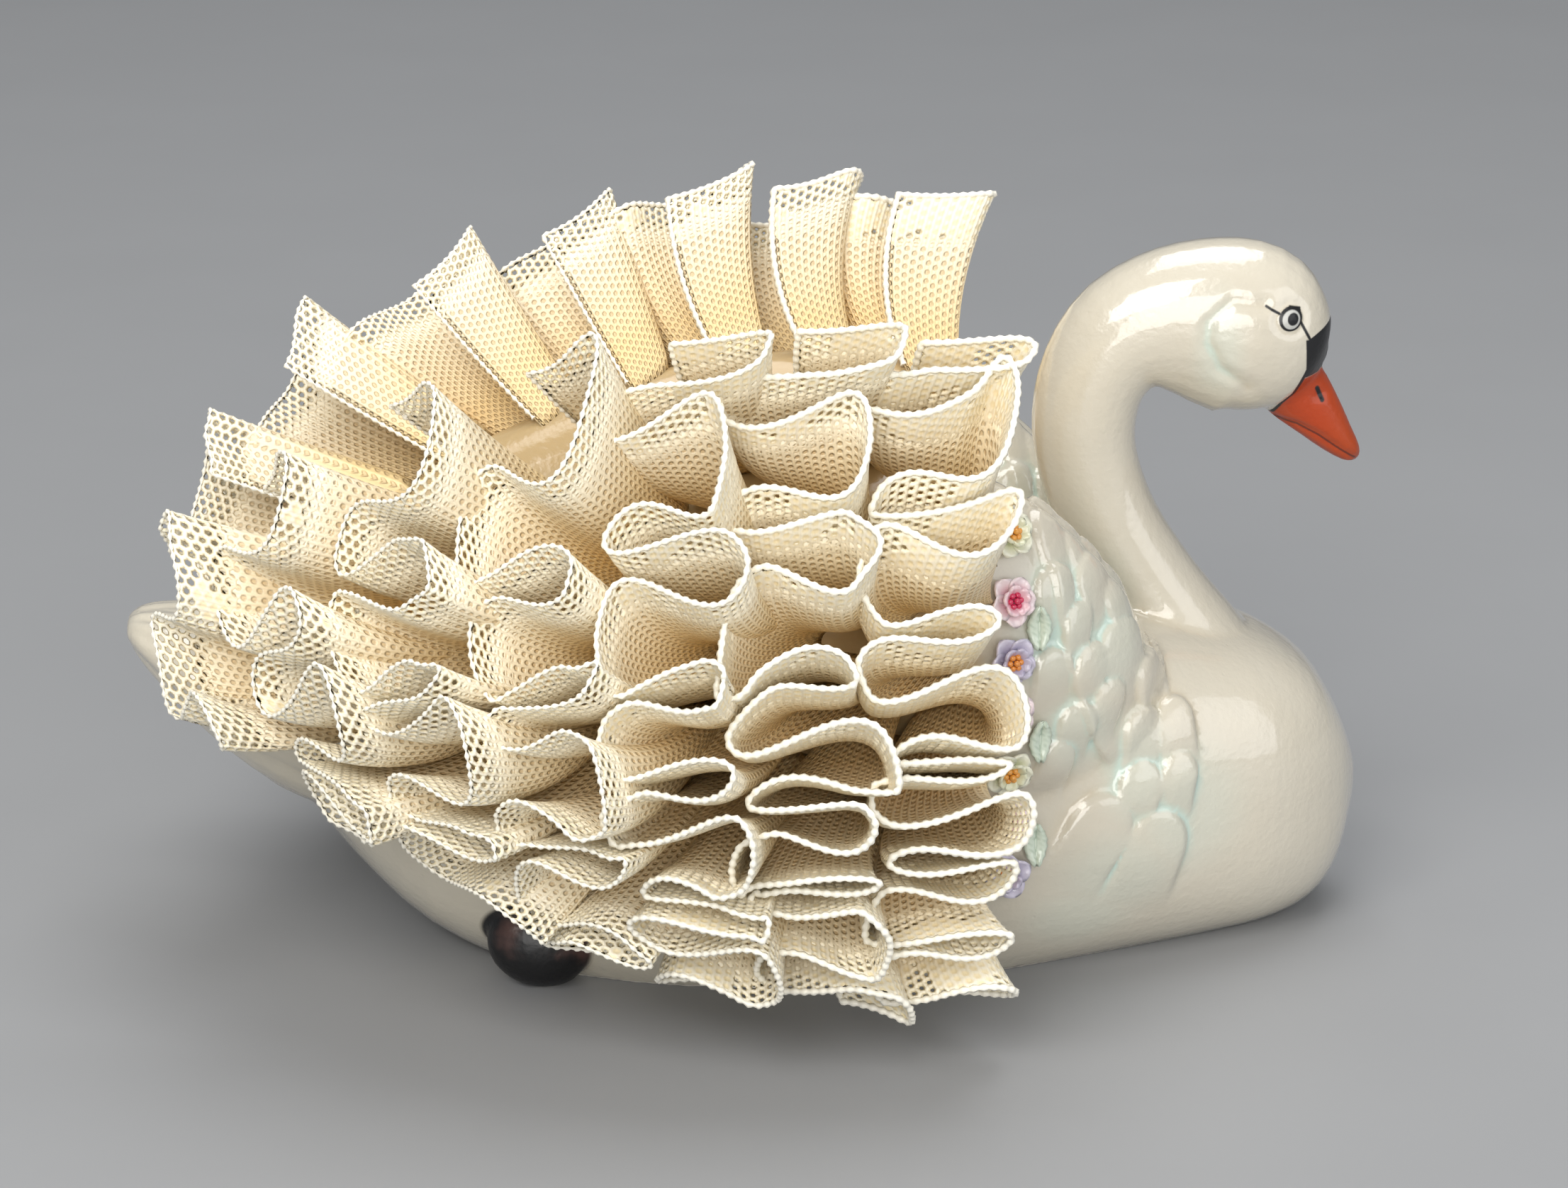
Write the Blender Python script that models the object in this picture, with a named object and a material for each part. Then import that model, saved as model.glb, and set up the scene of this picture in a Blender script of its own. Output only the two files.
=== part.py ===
# Porcelain swan figurine with lace frills on its raised wings.
# The swan faces +X and stands on z = 0. All sizes below are millimetres.

import math

import bmesh
import bpy
import numpy as np
from mathutils import Matrix, Vector
from mathutils.bvhtree import BVHTree

MM = 0.001

# Trunk: each station is x, lowest z, highest z, half width. The lowest part is cut off flat at z = 0.
TRUNK_STATIONS = [
    (-72, 25, 47, 13),
    (-64, 15, 53, 22),
    (-52, 3.5, 57, 29.5),
    (-35, -5, 59, 34),
    (-12, -11, 60, 38.5),
    (12, -12, 60, 40),
    (32, -9, 58, 39),
    (48, -6, 56, 36),
    (62, -4, 54, 32),
    (74, -2.6, 51, 27.5),
    (84, -1.2, 47.5, 23),
    (92, 1.6, 42, 17),
    (97, 7.5, 34, 11),
    (100, 18, 26, 4),
]
TRUNK_SQUARENESS = 2.5

# Tail: x, middle z, half height, half width.
TAIL_STATIONS = [
    (-50, 36, 17, 22),
    (-64, 37, 16, 23),
    (-76, 40, 14, 21),
    (-87, 45, 9.5, 17),
    (-94, 49, 6, 11.5),
    (-98, 51.2, 3.4, 7),
    (-99.8, 52, 1.4, 3.5),
]

# Raised wing: x, distance of its middle from the mid-plane, middle z, half thickness, half height.
WING_STATIONS = [
    (-74, 10, 52, 2.5, 4),
    (-68, 12.5, 53, 7, 9),
    (-57, 17, 53.5, 10.5, 14),
    (-44, 21.5, 54, 13, 20),
    (-28, 26, 54, 15, 26),
    (-10, 29, 54, 16, 31),
    (10, 30.5, 54, 16.5, 33),
    (26, 30, 54, 16, 32),
    (38, 28, 53, 14, 29),
    (50, 25, 48, 11.5, 24),
    (61, 21, 41, 8.5, 16),
    (68, 17, 34, 2.5, 5),
]

# Neck and head: x, z, half height across the neck, half width.
NECK_STATIONS = [
    (79, 21, 16, 18),
    (77, 33.5, 13, 16),
    (73.5, 43.5, 9.8, 13),
    (66.6, 54.3, 8.2, 9.8),
    (59.5, 65.5, 8.1, 8.8),
    (55.4, 76.2, 8.2, 8.5),
    (54.6, 84.4, 8.5, 8.7),
    (56.3, 91.8, 8.9, 9),
    (60.8, 97.6, 10, 9.4),
    (67.5, 99.8, 12, 10.2),
    (74.5, 99.6, 13.8, 11.2),
    (80.6, 98.2, 14.4, 11.6),
    (85.6, 95.2, 12.2, 10.4),
    (89.2, 92.8, 8.8, 8),
    (91.4, 91.4, 4.2, 4),
]

# Beak: x, z, half height, half width, from inside the head to the tip.
BEAK_STATIONS = [
    (85.5, 91.6, 5.8, 5.4),
    (89.2, 87.5, 5.5, 5.1),
    (92.4, 83.8, 4.4, 4.4),
    (95.3, 80.3, 3.2, 3.6),
    (97.9, 77.5, 2, 2.6),
    (99.2, 76.2, 0.9, 1.2),
]
KNOB_CENTRE = (92.3, 94.8)
KNOB_HALF_SIZE = (2.5, 3.3, 3.7)

# Foot: a webbed lobe beside the belly, centre and half sizes.
FOOT_CENTRE = (-35, 29, 7)
FOOT_HALF_SIZE = (8.5, 5.5, 7)
FOOT_TURN = 20

# Carved feathers on each shoulder: x, z, width, length, lean of the tip towards the tail in degrees.
FEATHERS = [
    (46, 74.5, 6, 10, 12),
    (50.5, 72, 5.5, 12, 20),
    (45.5, 65.5, 6, 9.5, 8),
    (52.5, 64.5, 6, 11, 18),
    (57.5, 60.5, 5.5, 11, 25),
    (48.8, 60, 5, 8.5, -8),
    (45, 53.5, 6, 9, 0),
    (51, 53, 6, 9, -12),
    (57, 53.5, 7.5, 12, 15),
    (62.5, 48, 5.5, 9, 12),
    (54, 47, 5.5, 8.5, -15),
    (49, 44, 6, 9, -12),
    (66.5, 39.5, 6.5, 9.5, 8),
    (60.5, 39.5, 6.5, 10, 0),
    (45.8, 38, 6, 9, -15),
    (66.5, 32, 6.5, 9, -8),
    (60, 31, 7.5, 10, -12),
    (53, 25, 11, 13, -30),
    (62.5, 21, 11, 13, -15),
]
FEATHER_RISE = 1.5
FEATHER_HALF_DEPTH = 2.6

# The casting is drawn as one smooth skin over those forms.
SKIN_GRAIN = 1.3
SKIN_SMOOTHING = 3
SKIN_SHARE = 0.045

# Lace frills. Each column is one gathered strip, fixed along a line down the wing's outer face.
LACE_THICKNESS = 0.9
LACE_FOOT_THICKNESS = 0.5
GATHER_REACH = 2.4
BOTTOM_REACH = 0.85
SEAT_GAP = 0.3
LOOP_STEPS = 4

# The right wing's free edges lean back this much more at the top.
RIGHT_LEAN = -4

# A loop is its share of the strip's height, its reach across and its curl.
BIG = (1.45, 1.05, 0.7)
MIDDLING = (1.0, 0.94, 0.55)
SMALL = (0.7, 0.72, 0.4)

# Each column from the head to the tail: x and z of its line's top and bottom; x, distance from the
# mid-plane and z of its free edge's top, middle and bottom; reach across; its loops, front and back in turn.
COLUMNS = [
    ((29, 78), (28, 25), (29, 45, 113), (25, 77, 57), (27, 62, 9), 11.3,
     [BIG, MIDDLING, BIG, SMALL, SMALL, MIDDLING, BIG, SMALL, SMALL, MIDDLING, BIG,
      SMALL, MIDDLING, SMALL, BIG, SMALL, SMALL, MIDDLING, MIDDLING, SMALL, BIG, MIDDLING]),
    ((14, 79), (16, 25), (8, 45, 114.5), (3.5, 80, 57), (9.5, 62, 9), 9.4,
     [BIG, MIDDLING, MIDDLING, SMALL, BIG, MIDDLING, SMALL, MIDDLING, BIG, SMALL, MIDDLING,
      BIG, SMALL, MIDDLING, BIG, SMALL, MIDDLING, SMALL, BIG, MIDDLING]),
    ((-1, 78), (4, 26), (-11.5, 45, 113.5), (-15.8, 80, 57), (-7, 61, 10), 9.1,
     [MIDDLING, BIG, BIG, SMALL, SMALL, MIDDLING, BIG, SMALL, SMALL, MIDDLING, BIG, SMALL,
      MIDDLING, SMALL, SMALL, MIDDLING, BIG, SMALL, BIG, MIDDLING]),
    ((-17, 75), (-8, 32), (-34, 43, 107), (-35, 75, 57), (-25, 57, 14.5), 9.2,
     [BIG, MIDDLING, SMALL, BIG, MIDDLING, SMALL, SMALL, BIG, BIG, SMALL, MIDDLING, BIG,
      SMALL, MIDDLING, BIG, MIDDLING]),
    ((-32, 70), (-20, 39), (-56, 38, 101), (-55.5, 66, 57), (-41, 51, 24), 9.6,
     [BIG, MIDDLING, MIDDLING, SMALL, BIG, MIDDLING, BIG, SMALL, MIDDLING, BIG, SMALL,
      MIDDLING, BIG, MIDDLING]),
    ((-46, 65), (-36, 42), (-77, 32, 86), (-72, 53, 57), (-63, 43, 32), 9.2,
     [MIDDLING, BIG, SMALL, MIDDLING, BIG, SMALL, MIDDLING, BIG, SMALL, BIG]),
    ((-62, 60), (-55, 46), (-90, 22, 71), (-89, 37, 58), (-86, 31, 46), 8.4,
     [MIDDLING, SMALL, MIDDLING, SMALL, MIDDLING]),
]

# Flowers and leaves applied along the front edge of each wing.
FLOWER_X = 38
LOWEST_FLOWER = 21
FLOWER_TOP_GAP = 2
FLOWER_RADIUS = 4.4
FLOWER_GAP = 0.4
FLOWER_COLOURS = ["lavender", "pink", "cream", "pink"]
FLOWER_FOOT_RADIUS = 1.6
FLOWER_BOSS_RADIUS = 1.3
FLOWER_CUP_HEIGHT = 1.8
PETALS = 5
PETAL_NOTCH = 0.62
PETAL_LIFT = 2.2
PETAL_BEVEL = 0.15
PETAL_THICKNESS = 0.9
LEAF_GAP = 0.6
LEAF_LENGTH = 7
LEAF_WIDTH = 3.6
LEAF_THICKNESS = 1.1
LEAF_CURL = 0.8
LEAF_CUP = 0.5
LEAF_OUTLINE = [(-0.5, 0.12), (-0.25, 0.8), (0.05, 1.0), (0.32, 0.62), (0.5, 0.1)]

# A distance from the mid-plane beyond everything, and how far off the surface a nearer search starts.
OUTSIDE = 150
SEARCH_REACH = 12

# A short stretch of a frill's height, as a share of it, over which its direction is taken.
SHORT_STRETCH = 0.02

COLOURS = {
    "porcelain": (0.86, 0.83, 0.76),
    "lace": (0.88, 0.82, 0.66),
    "lavender": (0.72, 0.68, 0.80),
    "pink": (0.86, 0.70, 0.72),
    "cream": (0.88, 0.86, 0.72),
    "leaf": (0.68, 0.72, 0.58),
}


def clear_scene():
    for thing in list(bpy.data.objects):
        bpy.data.objects.remove(thing)


def material(name, roughness):
    made = bpy.data.materials.get(name) or bpy.data.materials.new(name)
    made.use_nodes = True
    shader = made.node_tree.nodes["Principled BSDF"]
    shader.inputs["Base Color"].default_value = (*COLOURS[name], 1)
    shader.inputs["Roughness"].default_value = roughness
    shader.inputs["Metallic"].default_value = 0
    return made


def new_object(name, points, faces, finish=None):
    """An object from points in millimetres."""
    mesh = bpy.data.meshes.new(name)
    mesh.from_pydata([tuple(c * MM for c in point) for point in points], [], faces)
    mesh.validate()
    mesh.shade_smooth()
    made = bpy.data.objects.new(name, mesh)
    if finish:
        mesh.materials.append(finish)
    bpy.context.scene.collection.objects.link(made)
    return made


def recalculate_outwards(mesh):
    shape = bmesh.new()
    shape.from_mesh(mesh)
    bmesh.ops.recalc_face_normals(shape, faces=shape.faces)
    shape.to_mesh(mesh)
    shape.free()


# Rings and lofts

def oval(centre, across, up, half_across, half_up, squareness=2.0, count=24):
    """A superellipse ring about centre, in the plane of the two unit directions."""
    points = []
    for step in range(count):
        angle = 2 * math.pi * step / count
        c, s = math.cos(angle), math.sin(angle)
        side = math.copysign(abs(c) ** (2 / squareness), c) * half_across
        rise = math.copysign(abs(s) ** (2 / squareness), s) * half_up
        points.append(Vector(centre) + Vector(across) * side + Vector(up) * rise)
    return points


def through(stations, per_gap=3):
    """Stations with smooth ones added between them, on a Catmull-Rom curve."""
    rows = np.array(stations, float)
    padded = np.vstack([2 * rows[0] - rows[1], rows, 2 * rows[-1] - rows[-2]])
    made = []
    for i in range(len(rows) - 1):
        a, b, c, d = padded[i:i + 4]
        for step in range(per_gap):
            t = step / per_gap
            made.append(0.5 * (2 * b + (c - a) * t + (2 * a - 5 * b + 4 * c - d) * t ** 2
                               + (3 * b - a - 3 * c + d) * t ** 3))
    made.append(rows[-1])
    return made


def loft(rings):
    """Points and faces of a closed skin through the rings, with a pole at each end."""
    count = len(rings[0])
    points = [p for ring in rings for p in ring]
    faces = []
    for row in range(len(rings) - 1):
        for step in range(count):
            a = row * count + step
            b = row * count + (step + 1) % count
            faces.append((a, b, b + count, a + count))
    for row, turned in ((0, True), (len(rings) - 1, False)):
        middle = sum(rings[row], Vector()) / count
        points.append(middle)
        for step in range(count):
            a = row * count + step
            b = row * count + (step + 1) % count
            faces.append((b, a, len(points) - 1) if turned else (a, b, len(points) - 1))
    return points, faces


def ellipsoid(centre, half_sizes, turn=None, count=12):
    rings = []
    for row in range(1, count):
        angle = math.pi * row / count
        rings.append(oval((0, 0, -math.cos(angle) * half_sizes[2]), (1, 0, 0), (0, 1, 0),
                          math.sin(angle) * half_sizes[0], math.sin(angle) * half_sizes[1], count=count * 2))
    points, faces = loft(rings)
    turn = turn or Matrix.Identity(3)
    return [turn @ p + Vector(centre) for p in points], faces


# The casting

def trunk_form():
    rings = []
    for x, low, high, half_width in through(TRUNK_STATIONS):
        rings.append(oval((x, 0, (low + high) / 2), (0, 1, 0), (0, 0, 1),
                          half_width, (high - low) / 2, TRUNK_SQUARENESS, 40))
    return loft(rings)


def tail_form():
    rings = []
    for x, middle, half_height, half_width in through(TAIL_STATIONS):
        rings.append(oval((x, 0, middle), (0, 1, 0), (0, 0, 1), half_width, half_height))
    return loft(rings)


def wing_form(side):
    rings = []
    for x, away, middle, half_thickness, half_height in through(WING_STATIONS):
        rings.append(oval((x, side * away, middle), (0, 1, 0), (0, 0, 1), half_thickness, half_height))
    return loft(rings)


def bent_form(stations):
    """A loft whose rings stand square to its line in the XZ plane."""
    rows = through(stations)
    rings = []
    for i, (x, z, half_height, half_width) in enumerate(rows):
        before, after = rows[max(i - 1, 0)], rows[min(i + 1, len(rows) - 1)]
        along = Vector((after[0] - before[0], 0, after[1] - before[1])).normalized()
        across_line = Vector((-along.z, 0, along.x))
        rings.append(oval((x, 0, z), (0, 1, 0), across_line, half_width, half_height))
    return loft(rings)


def foot_form(side):
    turn = Matrix.Rotation(math.radians(FOOT_TURN), 3, "Y")
    x, away, z = FOOT_CENTRE
    return ellipsoid((x, side * away, z), FOOT_HALF_SIZE, turn)


def feather_form(surface, side, x, z, width, length, lean):
    """A flat lobe half sunk in the shoulder, its tip up."""
    spot, outward = outer_point(surface, side, x, z)
    up = Vector((-math.sin(math.radians(lean)), 0, math.cos(math.radians(lean))))
    up = (up - outward * up.dot(outward)).normalized()
    across = up.cross(outward)
    turn = Matrix((across, outward, up)).transposed()
    centre = spot + outward * (FEATHER_RISE - FEATHER_HALF_DEPTH)
    return ellipsoid(centre, (width / 2, FEATHER_HALF_DEPTH, length / 2), turn, 8)


def joined(forms):
    points, faces = [], []
    for form_points, form_faces in forms:
        start = len(points)
        points += form_points
        faces += [tuple(start + i for i in face) for face in form_faces]
    return points, faces


def surface_of(points, faces):
    return BVHTree.FromPolygons([Vector(p) for p in points], faces)


def outer_point(surface, side, x, z):
    """The outermost point of the surface at x and z on that side, and its outward normal."""
    spot, normal, _, _ = surface.ray_cast(Vector((x, side * OUTSIDE, z)), Vector((0, -side, 0)))
    if normal.y * side < 0:
        normal = -normal
    return spot, normal


def make_casting():
    """Body, tail, wings, neck, head, beak and feet, cast as one piece."""
    forms = [trunk_form(), tail_form(), bent_form(NECK_STATIONS), bent_form(BEAK_STATIONS)]
    forms += [wing_form(-1), wing_form(1)]
    smooth = surface_of(*joined(forms))
    for side in (-1, 1):
        forms.append(foot_form(side))
        for feather in FEATHERS:
            forms.append(feather_form(smooth, side, *feather))
    forms.append(ellipsoid((KNOB_CENTRE[0], 0, KNOB_CENTRE[1]), KNOB_HALF_SIZE))
    points, faces = joined(forms)
    casting = new_object("swan_body", points, faces, material("porcelain", 0.15))
    recalculate_outwards(casting.data)

    skin = casting.modifiers.new("skin", "REMESH")
    skin.mode = "VOXEL"
    skin.voxel_size = SKIN_GRAIN * MM
    skin.use_smooth_shade = True
    even = casting.modifiers.new("even", "SMOOTH")
    even.factor = 0.5
    even.iterations = SKIN_SMOOTHING
    fewer = casting.modifiers.new("fewer", "DECIMATE")
    fewer.ratio = SKIN_SHARE
    flat = casting.modifiers.new("flat_base", "BOOLEAN")
    flat.operation = "DIFFERENCE"
    flat.solver = "EXACT"
    flat.object = ground_cutter()
    return casting


def ground_cutter():
    corners = [(-OUTSIDE, -OUTSIDE), (OUTSIDE, -OUTSIDE), (OUTSIDE, OUTSIDE), (-OUTSIDE, OUTSIDE)]
    bottom = [(x, y, -OUTSIDE) for x, y in corners]
    top = [(x, y, 0) for x, y in corners]
    sides = [(i, (i + 1) % 4, (i + 1) % 4 + 4, i + 4) for i in range(4)]
    cutter = new_object("ground_cutter", bottom + top, [(3, 2, 1, 0), (4, 5, 6, 7)] + sides)
    cutter.hide_render = True
    cutter.display_type = "WIRE"
    return cutter


def evaluated_surface(thing):
    """The finished surface of an object, in millimetres."""
    graph = bpy.context.evaluated_depsgraph_get()
    shown = thing.evaluated_get(graph)
    mesh = shown.to_mesh()
    points = [thing.matrix_world @ v.co / MM for v in mesh.vertices]
    faces = [tuple(p.vertices) for p in mesh.polygons]
    shown.to_mesh_clear()
    return surface_of(points, faces)


# Lace frills

def loop_line(loops, steps):
    """A strip's gathered edge: how far down it is, evenly and with its curls, and how far across, -1 to 1."""
    shares, reaches, curls = (np.array(column, float) for column in zip(*loops))
    count = len(loops)
    phase = np.linspace(0, count * math.pi, count * steps + 1)
    middles = (np.arange(count) + 0.5) * math.pi
    share = np.interp(phase, middles, shares)
    reach = np.interp(phase, middles, reaches)
    curl = np.interp(phase, middles, curls)
    even = np.concatenate([[0], np.cumsum((share[1:] + share[:-1]) / 2)])
    scale = 1 / even[-1]
    one_loop = share * steps * scale
    inside = np.clip(np.minimum(phase, phase[-1] - phase) / math.pi, 0, 1)
    curled = even * scale - curl * one_loop * inside * np.sin(2 * phase) / 2
    return even * scale, curled, reach * np.sin(phase)


class Column:
    """One frill's line on the wing and its free edge, both from top (0) to bottom (1)."""

    def __init__(self, surface, side, number):
        self.surface = surface
        self.side = side
        self.line_top, self.line_bottom, top, middle, bottom, self.reach, loops = COLUMNS[number]
        self.edge_marks = [Vector((x, side * away, z)) for x, away, z in (top, middle, bottom)]
        self.edge_marks[0].x += RIGHT_LEAN if side < 0 else 0
        self.loops = loops if side < 0 else loops[::-1]

    def line(self, down):
        x = self.line_top[0] + (self.line_bottom[0] - self.line_top[0]) * down
        z = self.line_top[1] + (self.line_bottom[1] - self.line_top[1]) * down
        return outer_point(self.surface, self.side, x, z)[0]

    def edge(self, down):
        top, middle, bottom = self.edge_marks
        return (top * (1 - down) * (1 - 2 * down) + middle * 4 * down * (1 - down)
                + bottom * down * (2 * down - 1))

    def across(self, down):
        """Square to the strip, towards the head."""
        along = self.edge(down + SHORT_STRETCH) - self.edge(down - SHORT_STRETCH)
        stands = self.edge(down) - self.line(down)
        return along.cross(stands).normalized() * self.side

    def seated(self, spot, outward):
        """The point where the lace meets the wing, the seat gap clear of it."""
        hit = self.surface.ray_cast(spot + outward * SEARCH_REACH, -outward)[0]
        return (hit or spot) + outward * SEAT_GAP


def frill_rows(column):
    """The middle of the lace at the wing and at the free edge, step by step, with the lace's face normals."""
    even, curled, reach = loop_line(column.loops, LOOP_STEPS)
    roots = [column.line(e) + column.across(e) * r * GATHER_REACH for e, r in zip(even, reach)]
    tips = [column.edge(c) + column.across(e) * r * column.reach * (1 - (1 - BOTTOM_REACH) * e)
            for c, e, r in zip(curled, even, reach)]
    rows = []
    last = len(even) - 1
    for i in range(last + 1):
        before, after = max(i - 1, 0), min(i + 1, last)
        stands = (tips[i] - roots[i]).normalized()
        faces = [(line[after] - line[before]).cross(stands).normalized() for line in (roots, tips)]
        rows.append((roots[i], tips[i], stands, *faces))
    return rows


def make_frill(surface, side, number):
    column = Column(surface, side, number)
    rows = frill_rows(column)
    points = []
    for root, tip, stands, root_face, tip_face in rows:
        for turned in (-1, 1):
            foot = root + root_face * turned * LACE_FOOT_THICKNESS / 2
            points.append(column.seated(foot, stands))
            points.append(tip + tip_face * turned * LACE_THICKNESS / 2)
    faces = []
    for i in range(len(rows) - 1):
        a, b = i * 4, (i + 1) * 4
        faces += [(a, a + 1, b + 1, b), (a + 2, b + 2, b + 3, a + 3),
                  (a + 1, a + 3, b + 3, b + 1), (a, b, b + 2, a + 2)]
    end = (len(rows) - 1) * 4
    faces += [(0, 2, 3, 1), (end, end + 1, end + 3, end + 2)]
    name = ("right" if side < 0 else "left") + f"_frill_{number + 1}"
    frill = new_object(name, points, faces, material("lace", 0.6))
    recalculate_outwards(frill.data)
    return frill


# Flowers and leaves

def upright_frame(outward):
    """Three square directions: across, up the wing and outward."""
    up = (Vector((0, 0, 1)) - outward * outward.z).normalized()
    return up.cross(outward), up, outward


def laid_on(surface, side, x, z, local, faces, name, finish):
    """A small piece laid on the surface at x and z, the seat gap clear of it at its closest point."""
    spot, outward = outer_point(surface, side, x, z)
    across, up, _ = upright_frame(outward)
    level = [spot + across * p.x + up * p.y for p in local]
    clearances = []
    for p, base in zip(local, level):
        hit = surface.ray_cast(base + outward * SEARCH_REACH, -outward)[0]
        if hit:
            clearances.append(p.z - (hit - spot).dot(outward))
    lift = SEAT_GAP - min(clearances)
    points = [base + outward * (p.z + lift) for p, base in zip(local, level)]
    piece = new_object(("right" if side < 0 else "left") + name, points, faces, finish)
    recalculate_outwards(piece.data)
    return piece


def wing_top(x):
    """The height of the wing's upper edge at x."""
    stations = np.array(WING_STATIONS, float)
    return float(np.interp(x, stations[:, 0], stations[:, 2] + stations[:, 4]))


def flower_heights():
    """As many flowers one above the other as the wing's front edge takes."""
    spacing = 2 * FLOWER_RADIUS + FLOWER_GAP
    count = int((wing_top(FLOWER_X) - FLOWER_TOP_GAP - LOWEST_FLOWER) / spacing) + 1
    return [LOWEST_FLOWER + spacing * i for i in range(count)]


def make_flower(surface, side, number):
    """Five pointed petals round a boss, on a small foot."""
    rings = [(False, FLOWER_FOOT_RADIUS, 0), (True, FLOWER_RADIUS, PETAL_LIFT),
             (True, FLOWER_RADIUS - PETAL_BEVEL, PETAL_LIFT + PETAL_THICKNESS),
             (False, FLOWER_BOSS_RADIUS, FLOWER_CUP_HEIGHT)]
    made = []
    for lobed, radius, height in rings:
        ring = []
        for step in range(PETALS * 2):
            angle = math.pi * step / PETALS
            reach = radius * (PETAL_NOTCH if lobed and step % 2 else 1)
            ring.append(Vector((reach * math.cos(angle), reach * math.sin(angle), height)))
        made.append(ring)
    local, faces = loft(made)
    finish = material(FLOWER_COLOURS[number % len(FLOWER_COLOURS)], 0.25)
    return laid_on(surface, side, FLOWER_X, flower_heights()[number], local, faces, f"_flower_{number + 1}", finish)


def make_leaf(surface, side, number):
    """A small pointed leaf between two flowers, its ends curled away from the shoulder."""
    x = FLOWER_X + FLOWER_RADIUS + LEAF_GAP
    z = sum(flower_heights()[number * 2:number * 2 + 2]) / 2
    rings = []
    for share, width in LEAF_OUTLINE:
        half = LEAF_WIDTH / 2 * width
        along = share * LEAF_LENGTH
        bow = LEAF_CURL * (2 * share) ** 2
        rings.append([Vector((-half, along, bow + LEAF_CUP)), Vector((0, along, bow)),
                      Vector((half, along, bow + LEAF_CUP)), Vector((0, along, bow + LEAF_THICKNESS))])
    local, faces = loft(rings)
    return laid_on(surface, side, x, z, local, faces, f"_leaf_{number + 1}", material("leaf", 0.3))


def main():
    clear_scene()
    casting = make_casting()
    surface = evaluated_surface(casting)
    for side in (-1, 1):
        for number in range(len(COLUMNS)):
            make_frill(surface, side, number)
        for number in range(len(flower_heights())):
            make_flower(surface, side, number)
        for number in range(len(flower_heights()) // 2):
            make_leaf(surface, side, number)


main()
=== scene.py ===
# Porcelain swan with lace frills on its wings: the full model, its glaze and paint, lights and camera.
# Lengths in the tables are millimetres, meshes are made in metres. The swan faces +X.

import math
from functools import partialmethod, reduce
import bpy
import numpy as np
from mathutils import Matrix, Vector
from mathutils.bvhtree import BVHTree


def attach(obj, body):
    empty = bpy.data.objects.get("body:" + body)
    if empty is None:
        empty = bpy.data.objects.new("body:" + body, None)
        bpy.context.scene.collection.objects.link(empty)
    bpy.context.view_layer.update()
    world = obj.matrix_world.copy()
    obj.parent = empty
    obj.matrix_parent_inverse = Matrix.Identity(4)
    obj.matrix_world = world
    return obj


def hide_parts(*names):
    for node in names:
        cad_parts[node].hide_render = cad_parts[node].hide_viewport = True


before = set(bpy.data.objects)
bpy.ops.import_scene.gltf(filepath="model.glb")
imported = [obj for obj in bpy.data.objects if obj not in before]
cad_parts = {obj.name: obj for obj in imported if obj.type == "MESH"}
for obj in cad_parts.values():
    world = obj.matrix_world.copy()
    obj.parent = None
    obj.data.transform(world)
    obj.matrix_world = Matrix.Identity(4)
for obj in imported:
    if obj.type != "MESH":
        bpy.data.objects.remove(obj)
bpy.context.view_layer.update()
mm = 0.001


# Camera, at the photograph's angle

cameraPlace = {"target": (6.2, 0, 55), "azimuth": -4, "elevation": 19, "distance": 830, "lens": 117.5}


def placeCamera():
    azimuth = math.radians(cameraPlace["azimuth"])
    elevation = math.radians(cameraPlace["elevation"])
    back = Vector((math.sin(azimuth) * math.cos(elevation), -math.cos(azimuth) * math.cos(elevation),
                   math.sin(elevation)))
    camera = bpy.data.objects.new("camera", bpy.data.cameras.new("camera"))
    camera.data.lens = cameraPlace["lens"]
    camera.data.sensor_width = 36
    camera.data.clip_end = 20
    camera.location = (Vector(cameraPlace["target"]) + back * cameraPlace["distance"]) * mm
    camera.rotation_euler = back.to_track_quat("Z", "Y").to_euler()
    bpy.context.scene.collection.objects.link(camera)
    bpy.context.scene.camera = camera


placeCamera()
print("camera placed")


# Node trees

class NodeBoard:
    # adds nodes to one tree and feeds their sockets with values or other sockets
    def __init__(self, tree):
        self.tree = tree

    def feed(self, socket, value):
        if isinstance(value, bpy.types.NodeSocket):
            self.tree.links.new(value, socket)
        else:
            socket.default_value = value

    def add(self, kind, inputs=None, **settings):
        node = self.tree.nodes.new(kind)
        for name, value in settings.items():
            setattr(node, name, value)
        for name, value in (inputs or {}).items():
            self.feed(node.inputs[name], value)
        return node

    def calc(self, operation, *values):
        node = self.tree.nodes.new("ShaderNodeMath")
        node.operation = operation
        for socket, value in zip(node.inputs, values):
            self.feed(socket, value)
        return node.outputs[0]

    times = partialmethod(calc, "MULTIPLY")
    plus = partialmethod(calc, "ADD")
    minus = partialmethod(calc, "SUBTRACT")
    over = partialmethod(calc, "DIVIDE")
    most = partialmethod(calc, "MAXIMUM")
    least = partialmethod(calc, "MINIMUM")
    below = partialmethod(calc, "LESS_THAN")
    beyond = partialmethod(calc, "GREATER_THAN")

    def ramp(self, value, start, end, smooth=False, low=0.0, high=1.0):
        # the low value at the start and the high value at the end
        return self.add("ShaderNodeMapRange", {0: value, 1: start, 2: end, 3: low, 4: high},
                        interpolation_type="SMOOTHSTEP" if smooth else "LINEAR").outputs[0]

    def attribute(self, name):
        return self.add("ShaderNodeAttribute", attribute_name=name).outputs["Fac"]

    def vector(self, operation, *values):
        node = self.tree.nodes.new("ShaderNodeVectorMath")
        node.operation = operation
        for socket, value in zip(node.inputs, values):
            self.feed(socket, value)
        return node.outputs["Value" if operation in ("LENGTH", "DISTANCE", "DOT_PRODUCT") else "Vector"]

    def xyz(self, x, y, z):
        return self.add("ShaderNodeCombineXYZ", {0: x, 1: y, 2: z}).outputs[0]

    def parts(self, vector):
        return self.add("ShaderNodeSeparateXYZ", {0: vector}).outputs


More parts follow.
